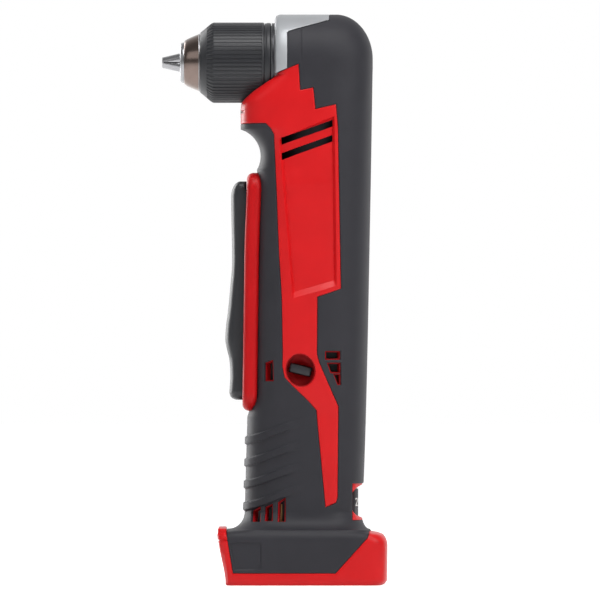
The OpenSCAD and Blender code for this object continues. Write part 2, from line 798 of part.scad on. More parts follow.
module brush_card() {
    color(black)
        difference() {
            union() {
                translate([0, 0, can_low - 14]) cylinder(r = can_radius - 0.2, h = 2);
                translate([0, 0, can_low - 14]) linear_extrude(14) difference() {
                    circle(can_radius - 0.2);
                    circle(can_radius - 1.8);
                }
                translate([0, 0, can_low - 19.8]) cylinder(r = 8, h = 7);
                for (a = [90, 270]) {
                    rotate(a) translate([9, -5, can_low - 13]) cube([11, 10, 12.5]);
                }
            }
            translate([0, 0, can_low - 18.9]) cylinder(r = 6.5 + fit, h = 5.1);
            translate([0, 0, can_low - 25]) cylinder(r = 3.4, h = 40);
            for (a = [90, 270]) {
                rotate(a) translate([5, -3, can_low - 8]) cube([13.6, 6, 6]);
            }
        }
}
module carbon_brushes() {
    color([0.15, 0.15, 0.15])
        for (a = [90, 270]) {
            rotate(a) translate([8.1, -2.9, can_low - 7.9]) cube([8, 5.8, 5.8]);
        }
}
module motor_shaft() {
    color(steel) translate([0, 0, can_low - 18.6]) cylinder(r = 2.5, h = case_low + 11.4 - can_low + 18.6);
}
module armature_core() {
    color([0.45, 0.45, 0.47])
        translate([0, 0, can_low + 12]) linear_extrude(40) difference() {
            circle(15.9);
            circle(2.51);
            for (a = [0:30:330]) {
                rotate(a) translate([14, -0.7]) square([4, 1.4]);
                rotate(a) translate([11.5, 0]) circle(2.3);
            }
        }
}
module armature_winding() {
    color(copper) {
        translate([0, 0, can_low + 52]) rotate_extrude() polygon([[2.51, 0], [14, 0], [14.8, 2], [13, 5],
            [6, 6],
            [2.51, 6]]);
        translate([0, 0, can_low + 12]) rotate_extrude() polygon([[2.51, 0], [14, 0], [14.8, -2], [13, -6],
            [6, -8],
            [2.51, -8]]);
    }
}
module commutator() {
    color(copper)
        translate([0, 0, can_low - 9]) linear_extrude(12.6) difference() {
            circle(8);
            circle(2.51);
            for (a = [15:30:345]) {
                rotate(a) translate([7.2, -0.2]) square([2, 0.4]);
            }
        }
}
module cooling_fan() {
    color(black)
        translate([0, 0, can_top - 10]) difference() {
            union() {
                cylinder(r = 5, h = 6.4);
                cylinder(r = 17.6, h = 1.2);
                linear_extrude(5.6) for (a = [0:36:324]) {
                    rotate(a) translate([4, -0.6]) square([13.4, 1.2]);
                }
            }
            translate([0, 0, -1]) cylinder(r = 2.51, h = 10);
        }
}

// Keyless chuck
module chuck_body() {
    color(steel)
        on_chuck() difference() {
            rotate_extrude() polygon([[0, 22.1], [15.3, 22.1], [15.3, 27.6], [14.8, 28], [14.8, nut_low],
                [10.6, nut_low], [10.6, nut_high], [13.9, nut_high], [13.9, nose_back], [9.2, nose_back],
                [9.2, nose_tip - 1.1], [0, nose_tip - 1.1]]);
            translate([0, 0, 20]) cylinder(r = 5.92, h = 13.2);
            translate([0, 0, 20]) cylinder(r = 4.6, h = 20);
            translate([0, 0, 34.4]) cylinder(r = tool_bore, h = jaw_reach - 60);
            translate([0, 0, 34.4]) cylinder(r = tool_bore + 0.4, h = 3.1);
            translate([0, 0, nut_low - 0.4]) cylinder(r = tool_bore + 0.4, h = 40);
            for (k = [0:2]) {
                rotate(90 + 120 * k) translate([tip_offset, 0, jaw_reach]) rotate([0, 180 - jaw_angle, 0])
                    cylinder(r = jaw_radius + fit, h = jaw_length + 18.8);
            }
        }
}
module chuck_collar() {
    color(black)
        on_chuck() rotate_extrude() polygon([[15.32, 22.1], [19, 22.1], [19, 23], [19.9, 23],
            [sleeve_radius - 0.2, 23.5], [sleeve_radius - 0.2, 25.2], [19.4, 25.7], [19.4, 27.2], [15.32,
                27.2]]);
}
module chuck_sleeve() {
    color(black)
        on_chuck() difference() {
            rotate_extrude() polygon([[17.3, 27.5], [19.7, 27.5], [19.7, 26.5], [sleeve_radius - 0.4, 26.5],
                [sleeve_radius, 27.3], [sleeve_radius, nose_back - 6.9], [sleeve_radius - 0.5, nose_back - 5.7],
                [14.6, nose_back - 0.1], [14.2, nose_back - 0.1], [14.2, nut_high], [17, nut_high],
                [17, nut_low + 0.1], [17.3, nut_low + 0.1]]);
            for (k = [0:sleeve_grooves - 1]) {
                rotate(k * 360 / sleeve_grooves) translate([sleeve_radius + 0.3, 0, 28])
                    cylinder(r = 0.8, h = nose_back - 35.5);
            }
        }
}
module chuck_nut() {
    color(steel)
        on_chuck() rotate_extrude() polygon([[12.5, nut_low + 0.3], [16.98, nut_low + 0.3], [16.98, nut_high - 0.2],
            [10.85, nut_high - 0.2]]);
}
module chuck_nose() {
    color(silver)
        on_chuck() translate([0, 0, nose_tip]) rotate_extrude() polygon([[9.22, -10.15], [13.9, -10.15],
            [13.9, -9.9], [14.2, -9.9], [14.2, -9.5], [10.6, -2.2], [9.9, -0.8], [8.4, 0], [6.3, 0], [6.3, -1],
            [9.22, -1]]);
}
module chuck_jaw(k) {
    color(steel)
        on_chuck() rotate(90 + 120 * k) intersection() {
            translate([tip_offset, 0, jaw_reach]) rotate([0, 180 - jaw_angle, 0])
                translate([0, 0, -4]) cylinder(r = jaw_radius, h = jaw_length + 4);
            translate([0, 0, 20]) linear_extrude(jaw_reach - 20)
                polygon([[0.35, 0], [25, 24.65 * tan(60)], [25, -24.65 * tan(60)]]);
        }
}
module chuck_jaw_1() {
    chuck_jaw(0);
}
module chuck_jaw_2() {
    chuck_jaw(1);
}
module chuck_jaw_3() {
    chuck_jaw(2);
}
module chuck_screw() {
    color(steel)
        on_chuck() difference() {
            union() {
                translate([0, 0, 34.45]) cylinder(r = tool_bore - 0.15, h = 2.5);
                translate([0, 0, 23]) cylinder(r = 2.4, h = 12);
            }
            translate([0, 0, 35.4]) cylinder(r = 1.8, h = 3, $fn = 6);
        }
}

// Paddle trigger: height above its foot, front, rear, half width, front and rear roundness
function paddle_rows() = let (f = -trigger_front, w = trigger_width / 2, h = paddle_high - paddle_low) [
    [0, f + 5.5, -37.4, w - 3.5, 2.6, 4],
    [1.6, f + 2.7, -37.4, w - 1.2, 2.8, 5],
    [3.4, f + 2.1, -31.5, w, 3, 9],
    [12, f + 2.6, -31.5, w, 3, 9],
    [20, f + 2.2, -31.5, w, 3, 9],
    [26, f + 0.8, -31.5, w, 3, 9],
    [31, f, -31.5, w, 3, 9],
    [37, f + 0.3, -31.5, w, 3, 9],
    [44, f + 1.2, -31.5, w, 3, 9],
    [54, f + 2.2, -31.5, w, 3, 9],
    [72, f + 3.5, -31.5, w, 3, 9],
    [h - 4.4, f + 3, -31.5, w, 3, 9],
    [h - 3.2, f + 3, -37.4, w, 3, 5],
    [h - 1.2, f + 3.8, -37.4, w - 1.2, 2.8, 5],
    [h, f + 6.2, -37.4, w - 3.5, 2.6, 4]];
module paddle_trigger() {
    color(black)
        difference() {
            union() {
                loft([for (s = paddle_rows()) ring([paddle_low + s[0], s[1], s[2], s[3], s[4], s[5]], 12,
                    23, -38.4)]);
                translate([-32.5, 0, plunger_z]) rotate([0, 90, 0]) cylinder(r = 4, h = 2.6);
                for (y = [-11.2, 7.7]) {
                    translate([-33, y, pivot_z - 3.1]) cube([33 + pivot_x, 3.5, 6.2]);
                    on_side(pivot_x, pivot_z, y + 3.5) cylinder(r = 3.1, h = 3.5);
                }
            }
            on_side(pivot_x, pivot_z, 30) cylinder(r = 1.5 + fit, h = 60);
        }
}
module trigger_pin() {
    color(steel) on_side(pivot_x, pivot_z, 17) cylinder(r = 1.5, h = 34);
}
module trigger_switch() {
    color(black)
        difference() {
            union() {
                translate([-20, -10.5, shuttle_height - 52]) cube([29, 21, 45.4]);
                translate([2, -8.5, shuttle_height - 54.4]) cube([5, 17, 3]);
            }
            translate([-21, 0, plunger_z]) rotate([0, 90, 0]) cylinder(r = 3.2, h = 18);
            translate([-21, -11, shuttle_height - 40]) cube([3, 22, 3]);
            translate([-21, -11, shuttle_height - 30]) cube([3, 22, 3]);
        }
}
module switch_plunger() {
    color(steel)
        translate([0, 0, plunger_z]) rotate([0, 90, 0]) {
            translate([0, 0, -29.5]) cylinder(r = 5, h = 2.4);
            translate([0, 0, -27.5]) cylinder(r = 3, h = 17);
        }
}
module direction_shuttle() {
    color(black) {
        side_plate(-24.4, 24.4) shuttle_bar(0);
        translate([shuttle_x - 4.5, -8, shuttle_height - 6.5]) cube([9, 16, 6]);
    }
}
module led_board() {
    color([0.1, 0.35, 0.15]) translate([4.9 - chin_front, -5, led_z - 4]) cube([1.2, 10, 6]);
}
module led_lens() {
    color([0.95, 0.95, 0.9])
        on_chuck() translate([led_z - axis_z, 0, 0]) rotate_extrude()
            polygon([[0, chin_front - 4.9], [3, chin_front - 4.9], [3, chin_front - 0.4], [2.4,
                chin_front + 0.1],
                [0, chin_front + 0.3]]);
}
module terminal_block() {
    color(black) {
        translate([-16, -14, bay_height - 3.6]) cube([36, 28, 11]);
        translate([-18, -16, floor_z + 0.1]) cube([38.6, 32, 2]);
    }
}
module terminal_blades() {
    color(copper)
        for (y = [-9, -3, 3, 9]) {
            translate([-27, y - 0.45, bay_height - 3]) cube([11, 0.9, 2.6]);
        }
}
function cable_ring(p) = [for (a = [0:45:315]) [p[0] + 1.3 * cos(a), p[1] + 1.3 * sin(a), p[2]]];
module battery_leads() {
    color([0.6, 0.1, 0.1])
        for (y = [-5, 5]) {
            loft([for (p = [[3, y, bay_height + 7.4], [3, y, 30], [0, y * 1.1, 38], [-4, y * 1.2, 46], [-6,
                y * 1.1, 53],
                [-6, y, shuttle_height - 52]]) cable_ring(p)]);
        }
}
module motor_leads() {
    color([0.6, 0.1, 0.1])
        for (y = [-7.4, 7.4]) {
            loft([for (p = [[5, y, shuttle_height - 6.6], [5.6, y, shuttle_height - 2], [9.6, y,
                shuttle_height + 4],
                [11.4, y, shuttle_height + 8], [11.6, y, can_low - 14]]) cable_ring(p)]);
        }
}

// Bit storage at the back of the grip
module bit_clip() {
    color(red)
        difference() {
            intersection() {
                loft([for (s = sections(0)) if (s[0] >= 30 && s[0] <= 90) ring(s, ring_steps,
                    2 * ring_steps - 1)]);
                bit_notch(0);
            }
            on_side(26.2, bit_z, 40) cylinder(r = 8.9, h = 80);
            bit_slot();
        }
}
module spare_bit() {
    color(black)
        translate([bit_x, 0, bit_z]) {
            translate([0, 0, -12.5]) cylinder(r = 3.66, h = 19, $fn = 6);
            translate([0, 0, 6.4]) cylinder(r1 = 3, r2 = 1, h = 6);
        }
}

left_housing();
right_housing();
left_overmold();
right_overmold();
housing_screws();
gear_case();
case_isolator();
front_bearing();
retaining_ring();
rear_bearing();
spindle();
bevel_gear();
bevel_pinion();
pinion_bearing();
planet_carrier();
planet_pins();
planet_gear_1();
planet_gear_2();
planet_gear_3();
ring_gear();
sun_gear();
motor_plate();
motor_screws();
motor_can();
motor_magnets();
motor_front_bearing();
motor_rear_bearing();
brush_card();
carbon_brushes();
motor_shaft();
armature_core();
armature_winding();
commutator();
cooling_fan();
chuck_body();
chuck_collar();
chuck_sleeve();
chuck_nut();
chuck_nose();
chuck_jaw_1();
chuck_jaw_2();
chuck_jaw_3();
chuck_screw();
paddle_trigger();
trigger_pin();
trigger_switch();
switch_plunger();
direction_shuttle();
led_board();
led_lens();
terminal_block();
terminal_blades();
battery_leads();
motor_leads();
bit_clip();
spare_bit();
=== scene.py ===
import json
import math

import bmesh
import bpy
from mathutils import Matrix, Vector

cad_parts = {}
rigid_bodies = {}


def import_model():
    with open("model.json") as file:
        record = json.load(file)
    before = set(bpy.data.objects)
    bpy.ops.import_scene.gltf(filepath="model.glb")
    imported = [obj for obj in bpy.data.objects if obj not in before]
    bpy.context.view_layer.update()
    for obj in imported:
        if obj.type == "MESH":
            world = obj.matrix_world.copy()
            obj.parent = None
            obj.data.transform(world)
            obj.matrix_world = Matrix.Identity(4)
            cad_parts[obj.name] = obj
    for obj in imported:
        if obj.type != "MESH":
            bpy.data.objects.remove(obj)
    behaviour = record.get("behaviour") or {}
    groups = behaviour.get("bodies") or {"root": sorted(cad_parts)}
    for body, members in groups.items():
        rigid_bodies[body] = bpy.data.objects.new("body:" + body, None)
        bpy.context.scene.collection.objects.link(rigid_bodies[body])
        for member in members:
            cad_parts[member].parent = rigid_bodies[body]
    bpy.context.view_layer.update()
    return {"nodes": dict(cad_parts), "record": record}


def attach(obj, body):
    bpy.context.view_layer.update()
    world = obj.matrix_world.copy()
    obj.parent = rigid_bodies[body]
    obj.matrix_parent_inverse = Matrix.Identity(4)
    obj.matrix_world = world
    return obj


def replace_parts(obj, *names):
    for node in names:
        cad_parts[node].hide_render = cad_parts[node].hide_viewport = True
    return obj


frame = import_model()
nodes = frame["nodes"]
mm = 0.001  # everything below is written in millimetres

tool = {
    "axis": 267.3,  # height of the spindle
    "head": 24.7,  # radius of the head
    "face": 21.2,  # gear case face in front of the motor axis
    "rear": 29.1,  # back of the head behind the motor axis
    "skin": 2.0,  # rubber and plastic wall
    "lip": 0.5,  # rounding of the moulded edges
}
axis = tool["axis"]


def mix(a, b, t):
    return a + (b - a) * t


def smooth(t):
    t = min(1.0, max(0.0, t))
    return t * t * (3 - 2 * t)


def pairs(loop):
    # each point of a closed loop with the next one
    return zip(loop, loop[1:] + loop[:1])


# the body is a stack of sections: height, front, rear, half width, front and rear squareness
bodyShape = {
    "foot": [
        (0, -46.0, 33.6, 36.8, 24, 9), (1.0, -46.3, 35.4, 37.7, 24, 9), (2.5, -46.4, 36.4, 38, 24, 9),
        (19.5, -49.5, 36.6, 38, 24, 9), (21.5, -49.8, 36.5, 38, 24, 9), (24, -50.4, 35.7, 37.8, 22, 8.5),
        (25.6, -50.6, 34.4, 37.3, 20, 8), (26.6, -50.3, 31.8, 36.5, 16, 7.5), (27.1, -49.9, 28.6, 36, 14, 7)],
    "flare": {"low": 28.2, "radius": 9.0, "rear": 4.5, "half": 9, "square": (7, 6)},  # hollow above the foot
    "grip": {"low": 37.2, "high": 86, "front": (-36.6, -35.2), "rear": 23.4, "half": (26.5, 26.8),
             "square": (2.8, 2.9, 2.6)},
    "back": (37, 0.62),  # where the back starts to lean, and how it curves up to the head
    "trigger": [
        (86, -35.2, None, 26.8, 2.9, 2.6), (92, -33.3, None, 27.0, 3.2, 2.6), (98, -31.7, None, 27.3, 3.5, 2.6),
        (126, -31.5, None, 28, 3.5, 2.6), (205.8, -29.8, None, 28, 3.5, 2.6)],
    "lead": {"heights": (207.4, 209, 210.6), "front": -30.2, "run": 6.45, "half": 27.8, "square": (3.5, 2.6)},
    "neck": {"level": 219.4, "front": -28.4, "radius": 14.2, "sweep": (-30, 75), "half": (27.75, 27.13),
             "square": ((3.5, 3.85), (2.6, 2.69)), "end": (233.4, 27.12, 3.9, 2.7)},
    "chin": [
        (233.8, -38.6, None, 27.1, 4, 2.7), (239, -38.6, None, 26.9, 4, 2.7), (245.5, -38.4, None, 26.6, 4.2, 2.7),
        (250.8, -34.4, None, 26.1, 5, 2.8), (255.9, -28.4, None, 25.5, 5, 2.8), (261, -21.2, None, 25, 5, 2.8)],
    "crown": {"under": 3, "half": 24.85, "square": (7, 9, 2.8)},
    "corner": (19.0, 23.0),  # run and rise of the back corner of the head
    "around": 62,  # points round half a section
}


def rearAt(z):
    start, curve = bodyShape["back"]
    return mix(bodyShape["grip"]["rear"], tool["rear"], (max(0.0, z - start) / (axis - start)) ** curve)


def between(rows, step):
    # monotone curve through a few given rows
    rows = [[r[0], r[1], rearAt(r[0]) if r[2] is None else r[2], *r[3:]] for r in rows]
    out = []
    slopes = []
    for i in range(len(rows)):
        here = []
        for k in range(1, 6):
            a = (rows[i][k] - rows[i - 1][k]) / (rows[i][0] - rows[i - 1][0]) if i else None
            b = (rows[i + 1][k] - rows[i][k]) / (rows[i + 1][0] - rows[i][0]) if i + 1 < len(rows) else None
            a = b if a is None else a
            b = a if b is None else b
            here.append(0.0 if a * b <= 0 else 2 * a * b / (a + b))
        slopes.append(here)
    for i in range(len(rows) - 1):
        span = rows[i + 1][0] - rows[i][0]
        count = max(1, round(span / step))
        for j in range(count):
            t = j / count
            row = [rows[i][0] + span * t]
            for k in range(1, 6):
                p, q = rows[i][k], rows[i + 1][k]
                m, n = slopes[i][k - 1] * span, slopes[i + 1][k - 1] * span
                row.append((2 * t ** 3 - 3 * t * t + 1) * p + (t ** 3 - 2 * t * t + t) * m
                           + (3 * t * t - 2 * t ** 3) * q + (t ** 3 - t * t) * n)
            out.append(row)
    out.append(rows[-1])
    return out


def bodyRows():
    rows = between(bodyShape["foot"], 1.3)
    flare, grip, lead, neck = (bodyShape[part] for part in ("flare", "grip", "lead", "neck"))
    front, half = grip["front"], grip["half"]
    squareLow, squareHigh, squareRear = grip["square"]
    for i in range(15):
        t = i / 14
        a = math.radians(90 * i / 14)
        out = 1 - math.sin(a)
        rows.append([flare["low"] + flare["radius"] * (1 - math.cos(a)), front[0] - flare["radius"] * out,
                     grip["rear"] + flare["rear"] * out, half[0] + flare["half"] * out,
                     mix(flare["square"][0], squareLow, t), mix(flare["square"][1], squareRear, t)])
    for i in range(1, 38):
        t = i / 38
        z = mix(grip["low"], grip["high"], t)
        rows.append([z, mix(*front, t), rearAt(z), mix(*half, t), mix(squareLow, squareHigh, t), squareRear])
    rows += between(bodyShape["trigger"], 1.4)
    top, edge = bodyShape["trigger"][-1][:2]
    for z in lead["heights"]:
        rows.append([z, mix(edge, lead["front"], (z - top) / lead["run"]), rearAt(z), lead["half"],
                     *lead["square"]])
    chinFront = bodyShape["chin"][0][1]
    for i in range(19):  # finger hollow under the chin
        t = i / 18
        a = math.radians(mix(*neck["sweep"], t))
        z = neck["level"] + neck["radius"] * math.sin(a)
        rows.append([z, max(neck["front"] - neck["radius"] * (1 - math.cos(a)), chinFront), rearAt(z),
                     mix(*neck["half"], t), mix(*neck["square"][0], t), mix(*neck["square"][1], t)])
    z = neck["end"][0]
    rows.append([z, chinFront, rearAt(z), *neck["end"][1:]])
    rows += between(bodyShape["chin"], 1.2)
    crown, head, rear, face = bodyShape["crown"], tool["head"], tool["rear"], tool["face"]
    run, rise = bodyShape["corner"]
    squareLow, squareHigh, squareRear = crown["square"]
    rows.append([axis - crown["under"], -face, rear, crown["half"], squareLow, squareRear])
    for i in range(1, 31):
        a = math.radians(90 * i / 30)
        up = head * math.sin(a)
        back = rear - run + run * math.sqrt(max(0.0, 1 - ((up + rise - head) / rise) ** 2 * 0.999))
        rows.append([axis + up - (0.02 if i == 30 else 0), -face, back, max(0.02, head * math.cos(a)),
                     squareHigh, squareRear])
    return rows


def sectionPoints(row, count):
    # evenly spaced points round half a section, from front to rear
    z, front, rear, half, nf, nr = row
    fine = []
    for i in range(361):
        a = math.pi * i / 360
        c, s = math.cos(a), math.sin(a)
        n = nf if c > 0 else nr
        fine.append(((front if c > 0 else rear) * abs(c) ** (2 / n), half * max(0.0, s) ** (2 / n)))
    lengths = [0.0]
    for p, q in zip(fine, fine[1:]):
        lengths.append(lengths[-1] + math.hypot(q[0] - p[0], q[1] - p[1]))
    points = []
    k = 0
    for i in range(count):
        want = lengths[-1] * i / (count - 1)
        while k < 359 and lengths[k + 1] < want:
            k += 1
        span = lengths[k + 1] - lengths[k]
        t = (want - lengths[k]) / span if span else 0
        points.append((mix(fine[k][0], fine[k + 1][0], t), mix(fine[k][1], fine[k + 1][1], t), z))
    points[0] = (front, 0.0, z)
    points[-1] = (rear, 0.0, z)
    return points


bodySections = bodyRows()


def sectionAt(z):
    return min(bodySections, key=lambda row: abs(row[0] - z))


def flankAt(x, z):
    # half width of the body at a point of the side view
    row = sectionAt(z)
    reach, n = (row[1], row[4]) if x < 0 else (row[2], row[5])
    return row[3] * max(0.0, 1 - abs(x / reach) ** n) ** (1 / n)


def loftHalf(side):
    # one half of the moulded body: the sections, bridged
    bm = bmesh.new()
    last = None
    for row in bodySections:
        points = sectionPoints(row, bodyShape["around"])
        ring = [bm.verts.new((x * mm, side * y * mm, z * mm)) for x, y, z in points]
        edges = [bm.edges.new(pair) for pair in zip(ring, ring[1:])]
        if last:
            bmesh.ops.bridge_loops(bm, edges=last + edges)
        last = edges
    bmesh.ops.recalc_face_normals(bm, faces=bm.faces)
    bm.normal_update()
    test = max(bm.faces, key=lambda f: abs(f.calc_center_median().y))
    if test.normal.y * side < 0:
        bmesh.ops.reverse_faces(bm, faces=bm.faces)
    return bm


def roundOutline(x, z, radius):
    turns = [math.radians(22.5 * k) for k in range(16)]
    return [(x + radius * math.cos(a), z + radius * math.sin(a)) for a in turns]


def ovalOutline(x, z, wide, tall, turn):
    c, s = math.cos(turn), math.sin(turn)
    turns = [math.radians(15 * i) for i in range(24)]
    return [(x + wide * math.cos(a) * c - tall * math.sin(a) * s,
             z + wide * math.cos(a) * s + tall * math.sin(a) * c) for a in turns]


def grown(outline, by):
    # outline pushed out by a distance, corners kept sharp
    turn = 1 if sum(p[0] * q[1] - q[0] * p[1] for p, q in pairs(outline)) > 0 else -1
    out = []
    for i, p in enumerate(outline):
        a, b = outline[i - 1], outline[(i + 1) % len(outline)]
        u = Vector((p[0] - a[0], p[1] - a[1])).normalized()
        v = Vector((b[0] - p[0], b[1] - p[1])).normalized()
        m = Vector((u.y, -u.x)) * turn + Vector((v.y, -v.x)) * turn
        m = m / max(0.4, m.length_squared / 2)
        out.append((p[0] + m.x * by, p[1] + m.y * by))
    return out


def drawnIn(outline, amounts):
    # outline moved in by its own distance on each edge
    turn = 1 if sum(p[0] * q[1] - q[0] * p[1] for p, q in pairs(outline)) > 0 else -1
    lines = []
    for (p, q), by in zip(pairs(outline), amounts):
        along = Vector((q[0] - p[0], q[1] - p[1])).normalized()
        lines.append((Vector(p) + Vector((-along.y, along.x)) * by * turn, along))
    out = []
    for (p, u), (q, v) in zip(lines[-1:] + lines[:-1], lines):
        t = ((q.x - p.x) * v.y - (q.y - p.y) * v.x) / (u.x * v.y - u.y * v.x)
        out.append((p.x + u.x * t, p.y + u.y * t))
    return out


moulding = {
    "seamSteps": (-0.5, -0.2, 0, 0.2, 0.5),  # cuts beside a colour line
    "plateDepth": 2.5,
    "plateRamps": (1.3, 1.3, 3.8, 1.2),  # top, rear, bottom and front slope of the sunk plate
    "ventRim": 0.6,
    "wellLip": 0.4,
    "holeLip": 0.35,
    "ventLip": 0.3,
    "seam": (0.3, 0.22),  # half width and depth of the line where the halves meet
    "footLine": (23, 0.35, 0.55),  # height, half width and depth
    "headSeam": (-7.4, 0.12, 0.16),  # place, half width and depth
    "ledLine": 0.9,
    "footPatch": (0.6, 0.7),  # depth and ramp
    "chuckGap": 21.9,  # radius cleared for the sleeve
    "screwHole": 3.5,
}

# outlines in the side view, x and z
redBand = [
    (-60, axis - 32.4), (-32.7, axis - 31.3), (-25.8, axis - 31.3), (-23.5, axis - 33.6), (-21.6, axis - 37),
    (-21.4, axis - 42.3), (-20.3, axis - 65.8), (-19.1, axis - 97), (-17.6, axis - 120.4), (-17.1, 118),
    (-17.3, 111.7), (-16.2, 106.3), (-12.1, 101.9), (-4, 94.1), (0.2, 89.4), (0.6, 84), (4.8, 39.8), (10.3, 42.2),
    (11.1, 44.7), (11.5, 91.4), (5.9, 103.9), (1.4, 114.4), (0.5, 118), (0.7, axis - 120), (12.8, axis - 115.9),
    (11.3, axis - 34.1), (10.2, axis - 21.6), (-0.3, axis - 24), (-1.4, axis - 13), (-8.1, axis - 14.3),
    (-8.9, axis - 0.9), (-21.8, axis - 6.4), (-60, axis - 6.4)]
redFoot = [
    (-80, -5), (80, -5), (80, 27.8), (27.4, 27.8), (26.2, 24.3), (9.9, 6.3), (-42.4, 6.3), (-45.8, 26.6),
    (-45.8, 29.6), (-80, 29.6)]
bareHead = [
    (-30, axis + 40), (7.2, axis + 40), (6.6, axis + 21.8), (-14, axis + 16.1), (-14.8, axis + 15.2),
    (-14.8, axis - 3.1), (-21.8, axis - 6.1), (-30, axis - 6.1)]
plateOutline = [(-18.9, axis - 39.4), (9.4, axis - 27.6), (10.6, axis - 114.4), (-11.9, axis - 120.8)]
plateFloor = drawnIn(plateOutline, moulding["plateRamps"])
plateSlots = [[(-18.1, z - 1.9), (8.6, z + 7.6), (8.6, z + 11), (-18.1, z + 1.6)]
              for z in (axis - 40.5, axis - 48.2)]
vents = [
    [(5.2, 115.7), (12, 115.7), (12, 119), (5.2, 119)],
    [(7.8, 108.8), (12.2, 108.8), (12.2, 113.1), (6.4, 113.1)],
    [(11.4, 102.8), (12.3, 102.8), (12.3, 107.4), (9.6, 107.4)],
    [(-26, 104.8), (-22.4, 104.8), (-22.6, 114.4), (-26, 113.2)],
    [(-32.3, 33.2), (-29, 33.2), (-29, 39.4), (-32.3, 37.8)],
    [(-25.8, 33.6), (-22.8, 33.6), (-22.8, 40.8), (-25.8, 39.4)],
    [(-19.1, 33.2), (-16.2, 33.2), (-16.2, 43.8), (-19.1, 42)]]
ventMouths = [grown(v, moulding["ventRim"]) for v in vents]
shuttleWell = ovalOutline(-8, 109.7, 7.7, 8.6, 0.21)
bitNotch = [(18.7, 33.3), (40, 33.3), (40, 51.9), (18.7, 51.9)]
screws = [(-40, 22.3), (26, 22.3), (-28.5, 50), (13.5, 62), (-21.3, 119.2), (18.2, 114), (-26, axis - 28.3)]
screwHoles = [roundOutline(x, z, moulding["screwHole"]) for x, z in screws]
footPatch = [(-44.2, 22.3), (-41.4, 7.8), (-27.8, 7.8), (-27.8, 22.3)]
footLine = [(-60, 22.7), (-45.4, 22.7), (-45.4, 23.3), (-60, 23.3)]
ledLine = [(-60, 241.4), (-36.4, 241.4), (-36.4, 242.6), (-60, 242.6)]  # groove beside the light
headSeam = [(-7.5, axis + 3), (-7.3, axis + 3), (-7.3, axis + 17.4), (-7.5, axis + 17.4)]

# outlines in the front view, y and z
frameOutline = []
for cy, cz, start in ((9.2, 201, 0), (-9.2, 201, 90), (-9.2, 96.8, 180), (9.2, 96.8, 270)):
    for k in range(0, 91, 30):
        a = math.radians(start + k)
        frameOutline.append((cy + 4 * math.cos(a), cz + 4 * math.sin(a)))
ledHole = roundOutline(0, 240.9, 3.1)
bayMouth = [(-33, -3), (33, -3), (33, 16.5), (-33, 16.5)]
frontOpenings = ((frameOutline, -15), (ledHole, -30), (bayMouth, -40))  # each with how far back it reaches


def inside(outline, x, z):
    hit = False
    for (ax, az), (bx, bz) in pairs(outline):
        if (az > z) != (bz > z) and x < (bx - ax) * (z - az) / (bz - az) + ax:
            hit = not hit
    return hit


def insideAny(outlines, x, z):
    return any(inside(o, x, z) for o in outlines)


def away(outline, x, z):
    # distance to an outline
    best = 1e9
    for (ax, az), (bx, bz) in pairs(outline):
        dx, dz = bx - ax, bz - az
        t = max(0.0, min(1.0, ((x - ax) * dx + (z - az) * dz) / (dx * dx + dz * dz)))
        best = min(best, math.hypot(x - ax - t * dx, z - az - t * dz))
    return best


def edgeDistances(outline, x, z):
    # distance to the line of each edge
    return [abs((bx - ax) * (az - z) - (ax - x) * (bz - az)) / math.hypot(bx - ax, bz - az)
            for (ax, az), (bx, bz) in pairs(outline)]


def score(bm, outline, shifts, view="side", margin=2.6):
    # cuts the faces along an outline, and along lines beside it
    a, b = (0, 2) if view == "side" else (1, 2)
    lowA, highA = min(p[0] for p in outline) - margin, max(p[0] for p in outline) + margin
    lowB, highB = min(p[1] for p in outline) - margin, max(p[1] for p in outline) + margin
    near = []
    for f in bm.faces:
        c = f.calc_center_median() / mm
        if lowA < c[a] < highA and lowB < c[b] < highB:
            near.append((f, c[a], c[b]))
    for p, q in pairs(outline):
        along = Vector((q[0] - p[0], q[1] - p[1]))
        if along.length < 1e-6:
            continue
        normal = Vector((along.y, -along.x)).normalized()
        la, ha = min(p[0], q[0]) - margin, max(p[0], q[0]) + margin
        lb, hb = min(p[1], q[1]) - margin, max(p[1], q[1]) + margin
        for shift in shifts:
            chosen = [f for f, u, v in near if f.is_valid and la < u < ha and lb < v < hb]
            if not chosen:
                continue
            rest = [e for e in near if e[0].is_valid and not (la < e[1] < ha and lb < e[2] < hb)]
            geom = list({g for f in chosen for g in [f, *f.edges, *f.verts]})
            place, face = Vector((0, 0, 0)), Vector((0, 0, 0))
            place[a], place[b] = (p[0] + normal.x * shift) * mm, (p[1] + normal.y * shift) * mm
            face[a], face[b] = normal.x, normal.y
            cut = bmesh.ops.bisect_plane(bm, geom=geom, dist=0.02 * mm, plane_co=place, plane_no=face)
            for g in cut["geom"]:
                if isinstance(g, bmesh.types.BMFace):
                    c = g.calc_center_median() / mm
                    rest.append((g, c[a], c[b]))
            near = rest


def placed(name, data):
    obj = bpy.data.objects.new(name, data)
    bpy.context.scene.collection.objects.link(obj)
    return obj


def meshOf(bm, name):
    mesh = bpy.data.meshes.new(name)
    bm.to_mesh(mesh)
    bm.free()
    return mesh


def finishMesh(bm, name, body, slotName, finish=None, angle=35):
    mesh = meshOf(bm, name)
    mesh.polygons.foreach_set("use_smooth", [True] * len(mesh.polygons))
    mesh.set_sharp_from_angle(angle=math.radians(angle))
    obj = placed(name, mesh)
    mesh.materials.append(finishes[finish or slotName])
    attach(obj, body)
    return obj


def walled(obj, thickness, offset=0):
    # gives an open sheet a wall
    step = obj.modifiers.new("wall", "SOLIDIFY")
    step.thickness = thickness * mm
    step.offset = offset


